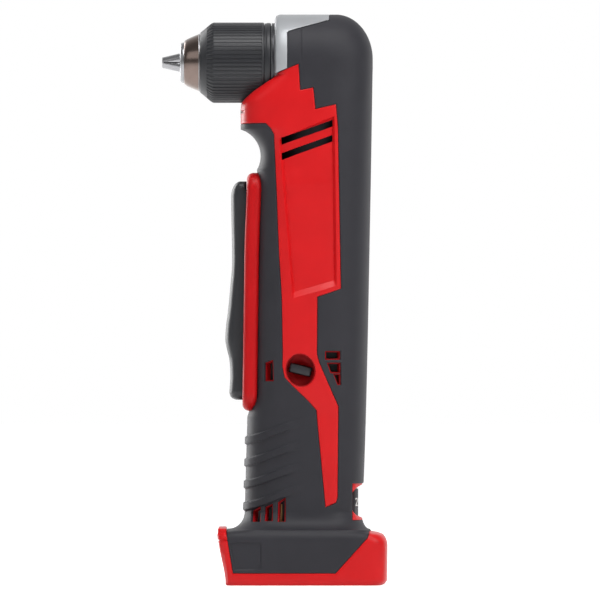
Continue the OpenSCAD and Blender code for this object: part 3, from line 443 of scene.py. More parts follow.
def shader(name, colour, rough, metal=0.0, fine=0.0, fineScale=2600, mottle=0.0, mottleScale=90,
           roughSpread=0.0, shine=0.5):
    # moulded or machined finish: colour drifts a little, the skin has a fine grain
    made = bpy.data.materials.new(name)
    made.use_nodes = True
    tree = made.node_tree
    base = tree.nodes["Principled BSDF"]
    base.inputs["Roughness"].default_value = rough
    base.inputs["Metallic"].default_value = metal
    base.inputs["Base Color"].default_value = (*colour, 1)
    base.inputs["Specular IOR Level"].default_value = shine
    place = tree.nodes.new("ShaderNodeTexCoord")
    if mottle:
        cloud = tree.nodes.new("ShaderNodeTexNoise")
        cloud.inputs["Scale"].default_value = mottleScale
        cloud.inputs["Detail"].default_value = 3
        tree.links.new(place.outputs["Object"], cloud.inputs["Vector"])
        ramp = tree.nodes.new("ShaderNodeValToRGB")
        ramp.color_ramp.elements[0].position = 0.3
        ramp.color_ramp.elements[1].position = 0.7
        ramp.color_ramp.elements[0].color = (*[c * (1 - mottle) for c in colour], 1)
        ramp.color_ramp.elements[1].color = (*[min(1, c * (1 + mottle)) for c in colour], 1)
        tree.links.new(cloud.outputs["Fac"], ramp.inputs["Fac"])
        tree.links.new(ramp.outputs["Color"], base.inputs["Base Color"])
        if roughSpread:
            span = tree.nodes.new("ShaderNodeMapRange")
            span.inputs["To Min"].default_value = rough - roughSpread
            span.inputs["To Max"].default_value = rough + roughSpread
            tree.links.new(cloud.outputs["Fac"], span.inputs["Value"])
            tree.links.new(span.outputs["Result"], base.inputs["Roughness"])
    if fine:
        grain = tree.nodes.new("ShaderNodeTexNoise")
        grain.inputs["Scale"].default_value = fineScale
        grain.inputs["Detail"].default_value = 2
        tree.links.new(place.outputs["Object"], grain.inputs["Vector"])
        bump = tree.nodes.new("ShaderNodeBump")
        bump.inputs["Strength"].default_value = fine
        bump.inputs["Distance"].default_value = 0.1 * mm
        tree.links.new(grain.outputs["Fac"], bump.inputs["Height"])
        tree.links.new(bump.outputs["Normal"], base.inputs["Normal"])
    return made


finishes = {
    "red_shell": shader("redShell", (0.56, 0.007, 0.009), 0.36, fine=0.12, mottle=0.035, roughSpread=0.04,
                        shine=0.22),
    # darker copy of the red shell: painted shade for the vent rims and the lever wells
    "vent_red": shader("ventRed", (0.30, 0.003, 0.005), 0.5, fine=0.12, mottle=0.05, shine=0.12),
    # darker copy of the red shell: painted shade on the trigger rim
    "rim_red": shader("rimRed", (0.47, 0.005, 0.007), 0.4, fine=0.12, mottle=0.035, roughSpread=0.04,
                      shine=0.16),
    "tan_card": shader("tanCard", (0.42, 0.26, 0.09), 0.55, fine=0.2, mottle=0.12, mottleScale=400),
    "black_rubber": shader("blackRubber", (0.0235, 0.023, 0.028), 0.55, fine=0.3, fineScale=3200, mottle=0.06,
                           roughSpread=0.05, shine=0.22),
    "black_plastic": shader("blackPlastic", (0.018, 0.0188, 0.022), 0.42, fine=0.15, mottle=0.05,
                            roughSpread=0.04, shine=0.35),
    "cast_metal": shader("castMetal", (0.33, 0.34, 0.355), 0.5, metal=0.4, fine=0.2, fineScale=1500,
                         mottle=0.04, roughSpread=0.06),
    # chrome darkened to a dark brown: painted dark reflection
    "chrome_nose": shader("warmChrome", (0.17, 0.13, 0.115), 0.2, metal=1, mottle=0.05, mottleScale=300,
                          roughSpread=0.04),
    "steel": shader("groundSteel", (0.30, 0.30, 0.31), 0.32, metal=1, fine=0.1, fineScale=1800, mottle=0.06,
                    roughSpread=0.06),
    # dark steel; on the case lip its darkness is painted shade in the groove between collar and head
    "dark_steel": shader("blackenedSteel", (0.045, 0.045, 0.05), 0.38, metal=0.6, mottle=0.1,
                         roughSpread=0.06),
    "magnet": shader("magnetGrey", (0.09, 0.09, 0.095), 0.6, mottle=0.08),
    "carbon": shader("carbonBlock", (0.03, 0.03, 0.032), 0.7, fine=0.3, mottle=0.1),
    "copper": shader("copperAlloy", (0.62, 0.28, 0.12), 0.34, metal=1, mottle=0.08, roughSpread=0.06),
    "lamination": shader("stackedSteel", (0.3, 0.3, 0.31), 0.5, metal=0.8, mottle=0.06),
    "board": shader("greenBoard", (0.02, 0.14, 0.05), 0.5, mottle=0.06),
    "lens": shader("clearLens", (0.85, 0.86, 0.84), 0.12, mottle=0.01),
    "lead_sleeve": shader("leadSleeve", (0.35, 0.02, 0.02), 0.45, mottle=0.05),
}
slotOf = {part["node"]: part["material_slot"] for part in frame["record"]["subparts"]}
for name, obj in nodes.items():
    obj.data.materials.clear()
    obj.data.materials.append(finishes[slotOf[name]])
print("finishes ready")


def scoredHalf(side):
    bm = loftHalf(side)
    steps = moulding["seamSteps"]
    for outline in (redBand, redFoot):
        score(bm, outline, steps)
    score(bm, bareHead, steps[:3])
    for outline in (plateOutline, plateFloor):
        score(bm, outline, (-0.15, 0, 0.15))
    for outline in plateSlots + [shuttleWell, bitNotch]:
        score(bm, outline, (0, 0.15, moulding["wellLip"]))
    for vent, mouth in zip(vents, ventMouths):
        score(bm, vent, (0,))
        score(bm, mouth, (0, moulding["ventLip"]))
    if side > 0:
        for hole in screwHoles:
            score(bm, hole, (0, moulding["holeLip"]))
    score(bm, frameOutline, (0,), view="front")
    score(bm, ledHole, (0, moulding["ventLip"]), view="front")
    score(bm, bayMouth, (0, moulding["wellLip"]), view="front")
    patchStep = -moulding["footPatch"][1]
    for outline, beside in ((headSeam, 0.2), (footPatch, patchStep), (footLine, 0.3), (ledLine, 0.25)):
        score(bm, outline, (0, beside), margin=1.2)
    bmesh.ops.bisect_plane(bm, geom=bm.verts[:] + bm.edges[:] + bm.faces[:], dist=0.01 * mm,
                           plane_co=(0, side * moulding["seam"][0] * mm, 0), plane_no=(0, 1, 0))
    return bm


def removed(x, y, z, side):
    # places where the moulded body is open
    if insideAny((bareHead, bitNotch, shuttleWell), x, z):
        return True
    if any(x < reach and inside(o, y, z) for o, reach in frontOpenings):
        return True
    return side > 0 and insideAny(screwHoles, x, z)


def isRed(x, z):
    return insideAny((redBand, redFoot), x, z)


ribs = {"height": 0.95, "pitch": 11.2, "first": 48.9, "width": 0.42, "edge": 0.06, "low": 34, "high": 77,
        "front": -36, "back": -6, "fade": 12, "slope": 0.24, "bend": 0.1, "bendOver": 18, "span": (33, 92)}


def ribAt(x, z):
    # wavy finger ribs on the front of the grip
    if x > ribs["back"] or not ribs["span"][0] < z < ribs["span"][1]:
        return 0.0
    back = max(0.0, x - ribs["front"])
    level = z - ribs["slope"] * back - ribs["bend"] * back * smooth(back / ribs["bendOver"])
    phase = ((level - ribs["first"]) / ribs["pitch"]) % 1.0
    rise = min(smooth(phase / ribs["edge"]), smooth((ribs["width"] - phase) / ribs["edge"]))
    fade = smooth((ribs["back"] - x) / ribs["fade"]) * smooth((level - ribs["low"]) / 2)
    fade *= smooth(ribs["high"] - level)
    return rise * fade * ribs["height"]


def lipAt(outline, r, u, v):
    # how far a rounded edge has fallen at a point near an outline
    d = away(outline, u, v)
    return r - math.sqrt(max(0.0, r * r - (r - d) ** 2)) if d < r else 0.0


def sunk(x, y, z, red, side):
    # how far the moulded face lies under the body's plain form
    deep = 0.0
    lip = tool["lip"]
    wellLip, holeLip, ventLip = (moulding[part] for part in ("wellLip", "holeLip", "ventLip"))
    edges = [(redBand, lip), (redFoot, lip), (bareHead, lip), (shuttleWell, wellLip), (bitNotch, wellLip)]
    edges += [(o, holeLip) for o in plateSlots] if red else [(o, ventLip) for o in ventMouths]
    if side > 0:
        edges += [(o, holeLip) for o in screwHoles]
    for outline, r in edges:
        if min(p[0] for p in outline) - r < x < max(p[0] for p in outline) + r and \
                min(p[1] for p in outline) - r < z < max(p[1] for p in outline) + r:
            deep = max(deep, lipAt(outline, r, x, z))
    for (outline, reach), r in zip(frontOpenings[1:], (ventLip, wellLip)):
        if x < reach:
            deep = max(deep, lipAt(outline, r, y, z))
    seam, seamDepth = moulding["seam"]
    if abs(y) < seam:
        deep = max(deep, seamDepth * (1 - abs(y) / seam))
    if red:
        level, half, depth = moulding["footLine"]
        if abs(z - level) < half and x < -45:
            deep += depth
        if inside(grown(ledLine, 0.02), x, z):
            deep += moulding["ledLine"]
        if inside(plateOutline, x, z):
            deep += moulding["plateDepth"] * min(1.0, *(d / r for d, r in zip(
                edgeDistances(plateOutline, x, z), moulding["plateRamps"])))
    else:
        deep -= ribAt(x, z)
        place, half, depth = moulding["headSeam"]
        if abs(x - place) < half and axis + 2 < z < axis + 17.6:
            deep += depth
        depth, ramp = moulding["footPatch"]
        if z < 23 and inside(footPatch, x, z):
            deep += depth * smooth(away(footPatch, x, z) / ramp)
    return deep


def facingOf(v):
    # outward direction with each face weighed by its area, so thin slivers do not turn it
    total = Vector()
    for f in v.link_faces:
        total += f.normal * f.calc_area()
    if total.length < (0.05 * mm) ** 2:
        for e in v.link_edges:
            for f in e.other_vert(v).link_faces:
                total += f.normal * f.calc_area()
    return total.normalized()


def moulded(source, name, side, keep, thickness, slotName, red, sink=0.0, finish=None):
    # keeps some faces of the scored half, gives them a wall, and shapes the outer face
    bm = source.copy()
    drop = [f for f in bm.faces if not keep(*(f.calc_center_median() / mm))]
    bmesh.ops.delete(bm, geom=drop, context="FACES")
    bmesh.ops.remove_doubles(bm, verts=bm.verts, dist=0.03 * mm)
    bm.normal_update()
    outer = [(v, facingOf(v)) for v in bm.verts]
    facing = {tuple(v.co): n for v, n in outer}
    shell = bmesh.ops.extrude_face_region(bm, geom=bm.faces[:], use_keep_orig=True)
    for v in shell["geom"]:
        if isinstance(v, bmesh.types.BMVert):
            v.co -= facing[tuple(v.co)] * (thickness + sink) * mm
    for v, n in outer:
        v.co -= n * (sunk(*(v.co / mm), red, side) + sink) * mm
    bmesh.ops.recalc_face_normals(bm, faces=bm.faces)
    return finishMesh(bm, name, "housing", slotName, finish)


def block(bm, low, high, rounding=0.0, turn=0.0):
    # box between two corners, turned about its own middle in the side view
    middle = [(a + b) / 2 * mm for a, b in zip(low, high)]
    size = [(b - a) * mm for a, b in zip(low, high)]
    made = bmesh.ops.create_cube(bm, size=1, matrix=Matrix.Translation(middle) @ Matrix.Rotation(
        math.radians(turn), 4, "Y") @ Matrix.Diagonal((*size, 1)))
    if rounding:
        edges = list({e for v in made["verts"] for e in v.link_edges})
        bmesh.ops.bevel(bm, geom=edges, offset=rounding * mm, affect="EDGES", segments=3, profile=0.5,
                        material=-1)


def sideBlock(bm, side, low, high, rounding=0.0):
    # box given for the right side, on either side of the tool
    near, far = sorted((side * low[1], side * high[1]))
    block(bm, (low[0], near, low[2]), (high[0], far, high[2]), rounding)


def rod(bm, middle, radius, length, turn, segments=32):
    # solid round bar, turned a quarter about an axis
    bmesh.ops.create_cone(bm, cap_ends=True, segments=segments, radius1=radius * mm, radius2=radius * mm,
                          depth=length * mm, matrix=Matrix.Translation([c * mm for c in middle])
                          @ Matrix.Rotation(math.pi / 2, 4, turn))


def clearChuck(obj):
    # cuts room for the chuck out of a piece with a helper bar, which is then thrown away
    near, far = tool["face"], 60
    bm = bmesh.new()
    rod(bm, (-(near + far) / 2, 0, axis), moulding["chuckGap"], far - near, "Y", 96)
    bmesh.ops.recalc_face_normals(bm, faces=bm.faces)
    bar = placed("bar", meshOf(bm, "bar"))
    step = obj.modifiers.new("cut", "BOOLEAN")
    step.object = bar
    step.operation = "DIFFERENCE"
    step.solver = "EXACT"
    bpy.context.view_layer.update()
    seen = obj.evaluated_get(bpy.context.evaluated_depsgraph_get())
    fresh = bpy.data.meshes.new_from_object(seen)
    obj.modifiers.clear()
    obj.data = fresh
    bpy.data.objects.remove(bar)


for side, word in ((-1, "left"), (1, "right")):
    half = scoredHalf(side)
    low, high = (z * mm for z in ribs["span"])
    ribEdges = [e for e in half.edges if all(v.co.x < -2 * mm and low < v.co.z < high for v in e.verts)
                and e.calc_length() > 0.6 * mm]
    bmesh.ops.subdivide_edges(half, edges=ribEdges, cuts=2, use_grid_fill=True)
    shell = moulded(half, word + "Shell", side, lambda x, y, z: isRed(x, z) and not removed(x, y, z, side)
                    and not insideAny(plateSlots, x, z), tool["skin"], "red_shell", True)
    clearChuck(shell)
    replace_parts(shell, word + "_housing")
    grip = moulded(half, word + "Grip", side, lambda x, y, z: not isRed(x, z) and not removed(x, y, z, side)
                   and not insideAny(ventMouths, x, z), tool["skin"], "black_rubber", False)
    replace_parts(grip, word + "_overmold")
    # the vent rims take the darker red, painted shade inside the vents
    moulded(half, word + "VentRims", side, lambda x, y, z: insideAny(ventMouths, x, z)
            and not insideAny(vents, x, z), 3.0, "red_shell", True, sink=1.2, finish="vent_red")
    half.free()
print("body ready")

inner = {
    "baffle": (13, 15),  # the baffles close the view through the vents
    "baffles": [(-28, -20.5, 102, 117), (0, 16, 100, 121), (-32.6, -14, 30, 48)],
    "card": ((-18.7, 20.0, 32), (-17.2, 20.6, 41.5)),  # insulating card seen through the tall bottom vent
    "sill": ((-50.1, 0, 24), (-45.8, 34.6, 29.2)),  # top of the bay's front edge
}
bay = {"wall": 33, "roof": 16.5, "rail": 29, "railTop": 3.6, "front": -45.5, "end": 29,
       "gap": (-16.2, 20.2)}  # room for the terminal block in the roof
wall, roof, rail, railTop, front, end = (bay[part] for part in ("wall", "roof", "rail", "railTop", "front", "end"))
gapFront, gapRear = bay["gap"]
bayBlocks = [
    ((front, rail, 0.05), (end + 0.5, 35.4, railTop)), ((front, wall, 2), (end + 0.5, 36, roof + 1)),
    ((end, 0, 0.05), (end + 4, 28.9, railTop)), ((end, 0, 2), (end + 2.5, 34, roof + 2)),
    ((front - 0.5, 0, roof), (gapFront, 35, roof + 2)), ((gapRear, 0, roof), (end + 1, 35, roof + 2)),
    ((gapFront, 14.2, roof), (gapRear, 35, roof + 2))]
lever = {"place": (-8, 110), "size": (11, 4.4), "turn": 14, "reach": 24.4,
         "flange": (6.8, 0.5, 4.5), "flangeAt": 14.3}  # flanges close the slots from inside
leverWell = {"rim": 26.4, "floor": 19.8, "slot": (5.8, 2.5), "wall": 1.2}
for side, word in ((-1, "left"), (1, "right")):
    bm = bmesh.new()
    for low, high, bottom, top in inner["baffles"]:
        sideBlock(bm, side, (low, inner["baffle"][0], bottom), (high, inner["baffle"][1], top))
    finishMesh(bm, word + "Baffles", "housing", "black_plastic")
    bm = bmesh.new()
    sideBlock(bm, side, *inner["card"], rounding=0.2)
    finishMesh(bm, word + "Card", "housing", "black_plastic", "tan_card")
    bm = bmesh.new()  # slide-in bay for the battery pack
    for low, high in bayBlocks:
        sideBlock(bm, side, low, high)
    sideBlock(bm, side, *inner["sill"], rounding=0.6)
    finishMesh(bm, word + "Bay", "housing", "red_shell")
    bm = bmesh.new()  # well round the direction lever
    rim, floor = (side * leverWell[part] * mm for part in ("rim", "floor"))
    outer = [bm.verts.new((x * mm, rim, z * mm)) for x, z in shuttleWell]
    low = [bm.verts.new((x * mm, floor, z * mm)) for x, z in shuttleWell]
    slot = []
    a = math.radians(-lever["turn"])
    for u, v in ((1, 0), (1, 1), (0, 1), (-1, 1), (-1, 0), (-1, -1), (0, -1), (1, -1)):
        x, z = u * leverWell["slot"][0], v * leverWell["slot"][1]
        slot.append(bm.verts.new(((lever["place"][0] + x * math.cos(a) - z * math.sin(a)) * mm, floor,
                                  (lever["place"][1] + x * math.sin(a) + z * math.cos(a)) * mm)))
    rings = [[bm.edges.new(pair) for pair in pairs(r)] for r in (outer, low, slot)]
    bmesh.ops.bridge_loops(bm, edges=rings[0] + rings[1])
    bmesh.ops.triangle_fill(bm, edges=rings[1] + rings[2], use_beauty=True)
    bmesh.ops.remove_doubles(bm, verts=bm.verts, dist=0.01 * mm)
    # the well takes the darker red: painted shade in the deep well
    walled(finishMesh(bm, word + "Well", "housing", "red_shell", "vent_red"), leverWell["wall"])
print("inside ready")

cradle = {"radius": 22.1, "wall": 1.4, "back": 21.3, "inset": 1.2, "sweep": (15, 165)}
bm = bmesh.new()  # floor of the chin under the chuck
last = None
for k in range(51):
    a = math.radians(mix(*cradle["sweep"], k / 50))
    y, z = cradle["radius"] * math.cos(a), axis - cradle["radius"] * math.sin(a)
    row = sectionAt(z)
    reach = -row[1] * max(0.0, 1 - (abs(y) / row[3]) ** row[4]) ** (1 / row[4]) - cradle["inset"]
    if reach > cradle["back"] + 0.5:
        pair = [bm.verts.new((-x * mm, y * mm, z * mm)) for x in (cradle["back"], reach)]
        if last:
            bm.faces.new((pair[0], pair[1], last[1], last[0]))
        last = pair
walled(finishMesh(bm, "chinCradle", "housing", "red_shell"), cradle["wall"], 1)

screwWell = {"radius": moulding["screwHole"], "shank": 1.6, "floor": 11.9, "under": 1.1, "wall": 1.0}
bm = bmesh.new()  # deep round wells over the case screws
for x, z in screws:
    rings = []
    for radius in (screwWell["radius"], screwWell["radius"], screwWell["shank"]):
        place = Matrix.Translation((x * mm, screwWell["floor"] * mm, z * mm))
        ring = bmesh.ops.create_circle(bm, segments=32, radius=radius * mm, cap_ends=False,
                                       matrix=place @ Matrix.Rotation(math.pi / 2, 4, "X"))
        if not rings:  # the rim follows the curve of the flank
            for v in ring["verts"]:
                v.co.y = (flankAt(v.co.x / mm, v.co.z / mm) - screwWell["under"]) * mm
        rings.append(list({e for v in ring["verts"] for e in v.link_edges}))
    bmesh.ops.bridge_loops(bm, edges=rings[0] + rings[1])
    bmesh.ops.bridge_loops(bm, edges=rings[1] + rings[2])
bmesh.ops.recalc_face_normals(bm, faces=bm.faces)
walled(finishMesh(bm, "screwWells", "housing", "black_plastic"), screwWell["wall"])

bm = bmesh.new()
x, z = lever["place"]
wide, tall = lever["size"]
block(bm, (x - wide / 2, -lever["reach"], z - tall / 2), (x + wide / 2, lever["reach"], z + tall / 2),
      rounding=0.7, turn=lever["turn"])
wide, thick, tall = lever["flange"]
for y in (-lever["flangeAt"], lever["flangeAt"]):
    block(bm, (x - wide, y - thick, z - tall), (x + wide, y + thick, z + tall), turn=lever["turn"])
block(bm, (x - 4.5, -8, z - 6.5), (x + 4.5, 8, z - 0.5))
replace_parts(finishMesh(bm, "lever", "shuttle", "black_plastic"), "direction_shuttle")

bead = {
    "x": -33.5, "half": 15.6, "low": 92.4, "high": 207.4, "corner": 5.6,
    "round": 3.4, "thin": 0.5,  # radius of the front, and what is left of it inside the foot of the rim
    "skirt": 4.1, "shallow": 0.8, "roll": 1.3, "rollCurve": 2.4,  # the rear side, which rolls in
    "tilt": 0.8, "tiltAt": 150, "curl": 0.7, "curlAt": 172, "curlOver": 34,
}


def beadPiece():
    # smooth rim round the trigger: a D-shaped section carried round a tall rounded frame
    path = []
    r, w, low, high = bead["corner"], bead["half"], bead["low"], bead["high"]
    for cy, cz, start in ((w - r, high - r, 0), (r - w, high - r, 90),
                          (r - w, low + r, 180), (w - r, low + r, 270)):
        for k in range(13):
            a = math.radians(start + 7.5 * k)
            path.append((cy + r * math.cos(a), cz + r * math.sin(a), math.cos(a), math.sin(a)))
        if start in (90, 270):
            way = -1 if start == 90 else 1
            for k in range(1, 24):
                up = mix(high - r, low + r, k / 24)
                path.append((way * w, up if way < 0 else low + high - up, way, 0))
    bm = bmesh.new()
    loops = []
    front = bead["round"]
    for y, z, ny, nz in path:
        thin = mix(front, bead["thin"], max(0.0, -nz) ** 2)
        fall = min(1.0, max(0.0, (low + r - z) / r))  # the foot of the rim rounds off
        skirt = mix(bead["shallow"], bead["skirt"], math.sqrt(1 - fall ** 2))
        roll = bead["roll"] * skirt / bead["skirt"]
        ring = [(mix(0.3 * skirt, skirt, k / 5), front - roll * (k / 5) ** bead["rollCurve"])
                for k in range(5, 0, -1)]
        for turn in range(0, 181, 12):
            a = math.radians(turn)
            ring.append((-front * math.sin(a), (front if turn <= 90 else thin) * math.cos(a)))
        ring.append((skirt, -thin))
        lean = math.tan(math.radians(bead["tilt"])) * (z - bead["tiltAt"])
        lean += bead["curl"] * smooth((z - bead["curlAt"]) / bead["curlOver"])
        verts = [bm.verts.new(((bead["x"] + dx + lean) * mm, (y + ny * d) * mm, (z + nz * d) * mm))
                 for dx, d in ring]
        loops.append([bm.edges.new(pair) for pair in pairs(verts)])
    for one, two in pairs(loops):
        bmesh.ops.bridge_loops(bm, edges=one + two)
    bmesh.ops.recalc_face_normals(bm, faces=bm.faces)
    # the rim takes the darker red copy, painted shade
    finishMesh(bm, "triggerRim", "housing", "red_shell", "rim_red", angle=50)


beadPiece()

paddle = {
    "front": -46.5, "half": 11.5, "low": 94.6, "middle": -38.4, "around": 40,
    "button": ((-31.2, 0, 99), 4, 2.6),  # middle, radius and length of what presses the switch
    "lugAt": 9.45, "lug": ((-33, -1.75, 195.9), (-25.5, 1.75, 202.1)), "eye": (-25.5, 199, 3.1, 3.5),
    "rows": [  # height, set back, rear, half width less, squareness front and rear
        (0, 5.5, -37.4, 3.5, 2.6, 4), (0.7, 3.7, -37.4, 2.2, 2.7, 4.5), (1.6, 2.7, -37.4, 1.2, 2.8, 5),
        (3.4, 2.1, -33, 0.1, 3, 9), (12, 2.6, -31.5, 0, 3, 9), (20, 2.2, -31.5, 0, 3, 9), (26, 0.8, -31.5, 0, 3, 9),
        (31, 0, -31.5, 0, 3, 9), (37, 0.3, -31.5, 0, 3, 9), (44, 1.2, -31.5, 0, 3, 9), (54, 2.2, -31.5, 0, 3, 9),
        (72, 3.5, -31.5, 0, 3, 9), (104, 3, -31.5, 0, 3, 9), (106.6, 3.3, -31.5, 0.1, 3, 9),
        (107.7, 3.6, -35.6, 0.3, 3, 6), (109, 4.1, -35.6, 0.6, 3, 6), (110, 4.7, -35.6, 1.1, 3, 6),
        (110.8, 5.4, -35.6, 1.7, 3, 6), (111.4, 6.2, -35.6, 2.5, 3, 6), (111.8, 7.1, -35.6, 3.4, 3, 6)],
}


def paddlePiece():
    middle = paddle["middle"]
    rows = [(paddle["low"] + h, paddle["front"] + back - middle, rear - middle, paddle["half"] - less, nf, nr)
            for h, back, rear, less, nf, nr in paddle["rows"]]
    bm = bmesh.new()
    last = None
    for row in between(rows, 1.5):
        points = sectionPoints(row, paddle["around"])
        points += [(x, -y, z) for x, y, z in points[-2:0:-1]]
        ring = [bm.verts.new(((x + middle) * mm, y * mm, z * mm)) for x, y, z in points]
        edges = [bm.edges.new(pair) for pair in pairs(ring)]
        if last:
            bmesh.ops.bridge_loops(bm, edges=last + edges)
        else:
            bmesh.ops.contextual_create(bm, geom=edges)
        last = edges
    bmesh.ops.contextual_create(bm, geom=last)
    rod(bm, *paddle["button"], "Y")
    (x1, y1, z1), (x2, y2, z2) = paddle["lug"]
    x, z, radius, length = paddle["eye"]
    for y in (-paddle["lugAt"], paddle["lugAt"]):
        block(bm, (x1, y + y1, z1), (x2, y + y2, z2), rounding=0.3)
        rod(bm, (x, y, z), radius, length, "X")
    bmesh.ops.recalc_face_normals(bm, faces=bm.faces)
    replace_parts(finishMesh(bm, "paddle", "trigger", "black_plastic", angle=40), "paddle_trigger")


paddlePiece()
print("trigger ready")


def turned(name, profile, body, slotName, steps=120, ridges=None, finish=None):
    # closed profile of (distance along the chuck, radius), spun round the chuck axis
    bm = bmesh.new()
    verts = [bm.verts.new((-along * mm, 0, (axis + radius) * mm)) for along, radius in profile]
    edges = [bm.edges.new(pair) for pair in pairs(verts)]
    bmesh.ops.spin(bm, geom=verts + edges, cent=(0, 0, axis * mm), axis=(1, 0, 0), angle=2 * math.pi,
                   steps=steps, use_merge=True)
    if ridges:
        for v in bm.verts:
            along, y, z = -v.co.x / mm, v.co.y / mm, v.co.z / mm - axis
            radius = math.hypot(y, z)
            if ridges["low"] < along < ridges["high"] and radius > ridges["over"]:
                turn = (math.atan2(y, z) / (2 * math.pi) * ridges["count"]) % 1.0
                keep = 1 - ridges["depth"] / radius * (1 if turn > 0.45 else 0)
                v.co.y *= keep
                v.co.z = (axis + z * keep) * mm
    bmesh.ops.recalc_face_normals(bm, faces=bm.faces)
    return finishMesh(bm, name, body, slotName, finish)


chuck = {"radius": 20.6, "noseBack": 59.5, "noseTip": 69.7, "bore": 9.22,
         "ridges": {"low": 27.7, "high": 55.7, "over": 18.3, "count": 60, "depth": 0.42}}
big, back, tip, bore = chuck["radius"], chuck["noseBack"], chuck["noseTip"], chuck["bore"]
sleeve = turned("sleeve", [
    (27.5, 17.3), (27.5, 19.7), (26.5, 19.7), (26.5, big - 0.45), (26.7, big - 0.15), (27.1, big), (27.6, big),
    (27.9, big), (28.2, big), (back - 7.7, big), (back - 7.2, big), (back - 6.7, big - 0.12),
    (back - 6.1, big - 0.45), (back - 5.3, big - 1.0), (back - 3.9, big - 2.17), (back - 3.6, big - 2.42),
    (back - 0.5, 15.6), (back - 0.2, 15.2), (back - 0.1, 14.8), (back - 0.1, 14.2), (50.4, 14.2), (50.4, 17),
    (43.7, 17), (43.7, 17.3)], "sleeve", "black_plastic", steps=360, ridges=chuck["ridges"])
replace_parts(sleeve, "chuck_sleeve")
collar = turned("collar", [
    (22.1, 15.32), (22.1, 19), (23, 19), (23, 19.7), (23.2, 20.1), (23.5, big - 0.25), (23.8, big - 0.2),
    (24.9, big - 0.2), (25.2, big - 0.25), (25.5, 20.15), (26.3, 20.15), (26.35, 19.4), (27.2, 19.4),
    (27.2, 15.32)], "output", "black_plastic")
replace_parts(collar, "chuck_collar")
# the nose cone takes the darkened chrome, a painted dark reflection
nose = turned("nose", [
    (tip - 10.15, bore), (tip - 10.15, 13.9), (tip - 9.9, 13.9), (tip - 9.9, 14.3), (tip - 9.8, 14.5),
    (tip - 9.5, 14.6), (tip - 9.3, 14.52), (tip - 7.6, 13.85), (tip - 5.6, 13.0), (tip - 4, 12.25),
    (tip - 2.9, 11.6), (tip - 2.3, 11.1), (tip - 2.1, 10.6), (tip - 2.1, 9.3), (tip - 4, bore)],
    "output", "chrome_nose")
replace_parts(nose, "chuck_nose")
turned("noseRing", [
    (tip - 2.6, 9.3), (tip - 2.6, 10.3), (tip - 1.9, 10.35), (tip - 0.9, 10.2), (tip - 0.4, 9.8), (tip - 0.1, 9.2),
    (tip, 8.5), (tip, 6.5), (tip - 0.15, 6.3), (tip - 1, 6.3), (tip - 1, bore)],
    "output", "chrome_nose", finish="steel")
turned("noseLine", [
    (tip - 10.1, 13.5), (tip - 10.1, 14.7), (tip - 9.95, 14.85), (tip - 9.75, 14.85), (tip - 9.6, 14.7),
    (tip - 9.6, 13.5)], "output", "chrome_nose", finish="steel")
# dark ring over the gear case lip: painted shade in the groove between collar and head
turned("caseLip", [
    (21.22, 19.6), (21.22, 20.2), (21.4, 20.27), (22.5, 20.27), (22.72, 20.15), (22.72, 19.4), (22.5, 19.35)],
    "housing", "cast_metal", finish="dark_steel")
print("chuck ready")


def eased(node, rounding, angle=30):
    # a CAD piece with its sharp edges broken
    bm = bmesh.new()
    bm.from_mesh(nodes[node].data)
    bm.transform(nodes[node].matrix_world)
    bmesh.ops.remove_doubles(bm, verts=bm.verts, dist=0.005 * mm)
    bmesh.ops.dissolve_limit(bm, angle_limit=math.radians(1), verts=bm.verts, edges=bm.edges)
    sharp = [e for e in bm.edges if len(e.link_faces) == 2 and e.calc_face_angle() > math.radians(angle)]
    bmesh.ops.bevel(bm, geom=sharp, offset=rounding * mm, affect="EDGES", segments=2, profile=0.5,
                    material=-1, clamp_overlap=True)
    body = nodes[node].parent.name.split(":")[-1]
    name = node.replace("_", " ").title().replace(" ", "")
    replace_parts(finishMesh(bm, name, body, slotOf[node], angle=angle), node)


edgeBreaks = {"gear_case": 0.3, "chuck_jaw_1": 0.12, "chuck_jaw_2": 0.12, "chuck_jaw_3": 0.12,
              "spare_bit": 0.15, "bit_clip": 0.3, "terminal_block": 0.4, "terminal_blades": 0.15}
for node, rounding in edgeBreaks.items():
    eased(node, rounding)

bitMark = {"number": "2", "tall": 6.0, "raised": 0.05, "along": 18, "out": 3.22, "height": 42.0, "turn": 60}
letter = bpy.data.curves.new("bitNumber", "FONT")
letter.body = bitMark["number"]
letter.size = bitMark["tall"] * mm
letter.align_x, letter.align_y = "CENTER", "CENTER"
letter.extrude = bitMark["raised"] * mm
rough = placed("bitNumber", letter)
bpy.context.view_layer.update()
bm = bmesh.new()
bm.from_mesh(bpy.data.meshes.new_from_object(rough.evaluated_get(bpy.context.evaluated_depsgraph_get())))
bpy.data.objects.remove(rough)
bm.transform(Matrix.Translation((bitMark["along"] * mm, 0, bitMark["height"] * mm))
             @ Matrix.Rotation(math.radians(bitMark["turn"]), 4, "Z")
             @ Matrix.Translation((0, -bitMark["out"] * mm, 0)) @ Matrix.Rotation(math.pi / 2, 4, "X"))
finishMesh(bm, "bitNumber", "bit", "lens")
print("small pieces ready")

view = {"across": -8.2, "height": 145.7, "far": 7000.0, "field": 307.5, "sensor": 36}
lens = bpy.data.cameras.new("view")
lens.sensor_width = view["sensor"]
lens.lens = view["sensor"] * view["far"] / view["field"]
lens.clip_end = 40
camera = placed("view", lens)
camera.location = (view["across"] * mm, -view["far"] * mm, view["height"] * mm)
camera.rotation_euler = (math.pi / 2, 0, 0)
bpy.context.scene.camera = camera

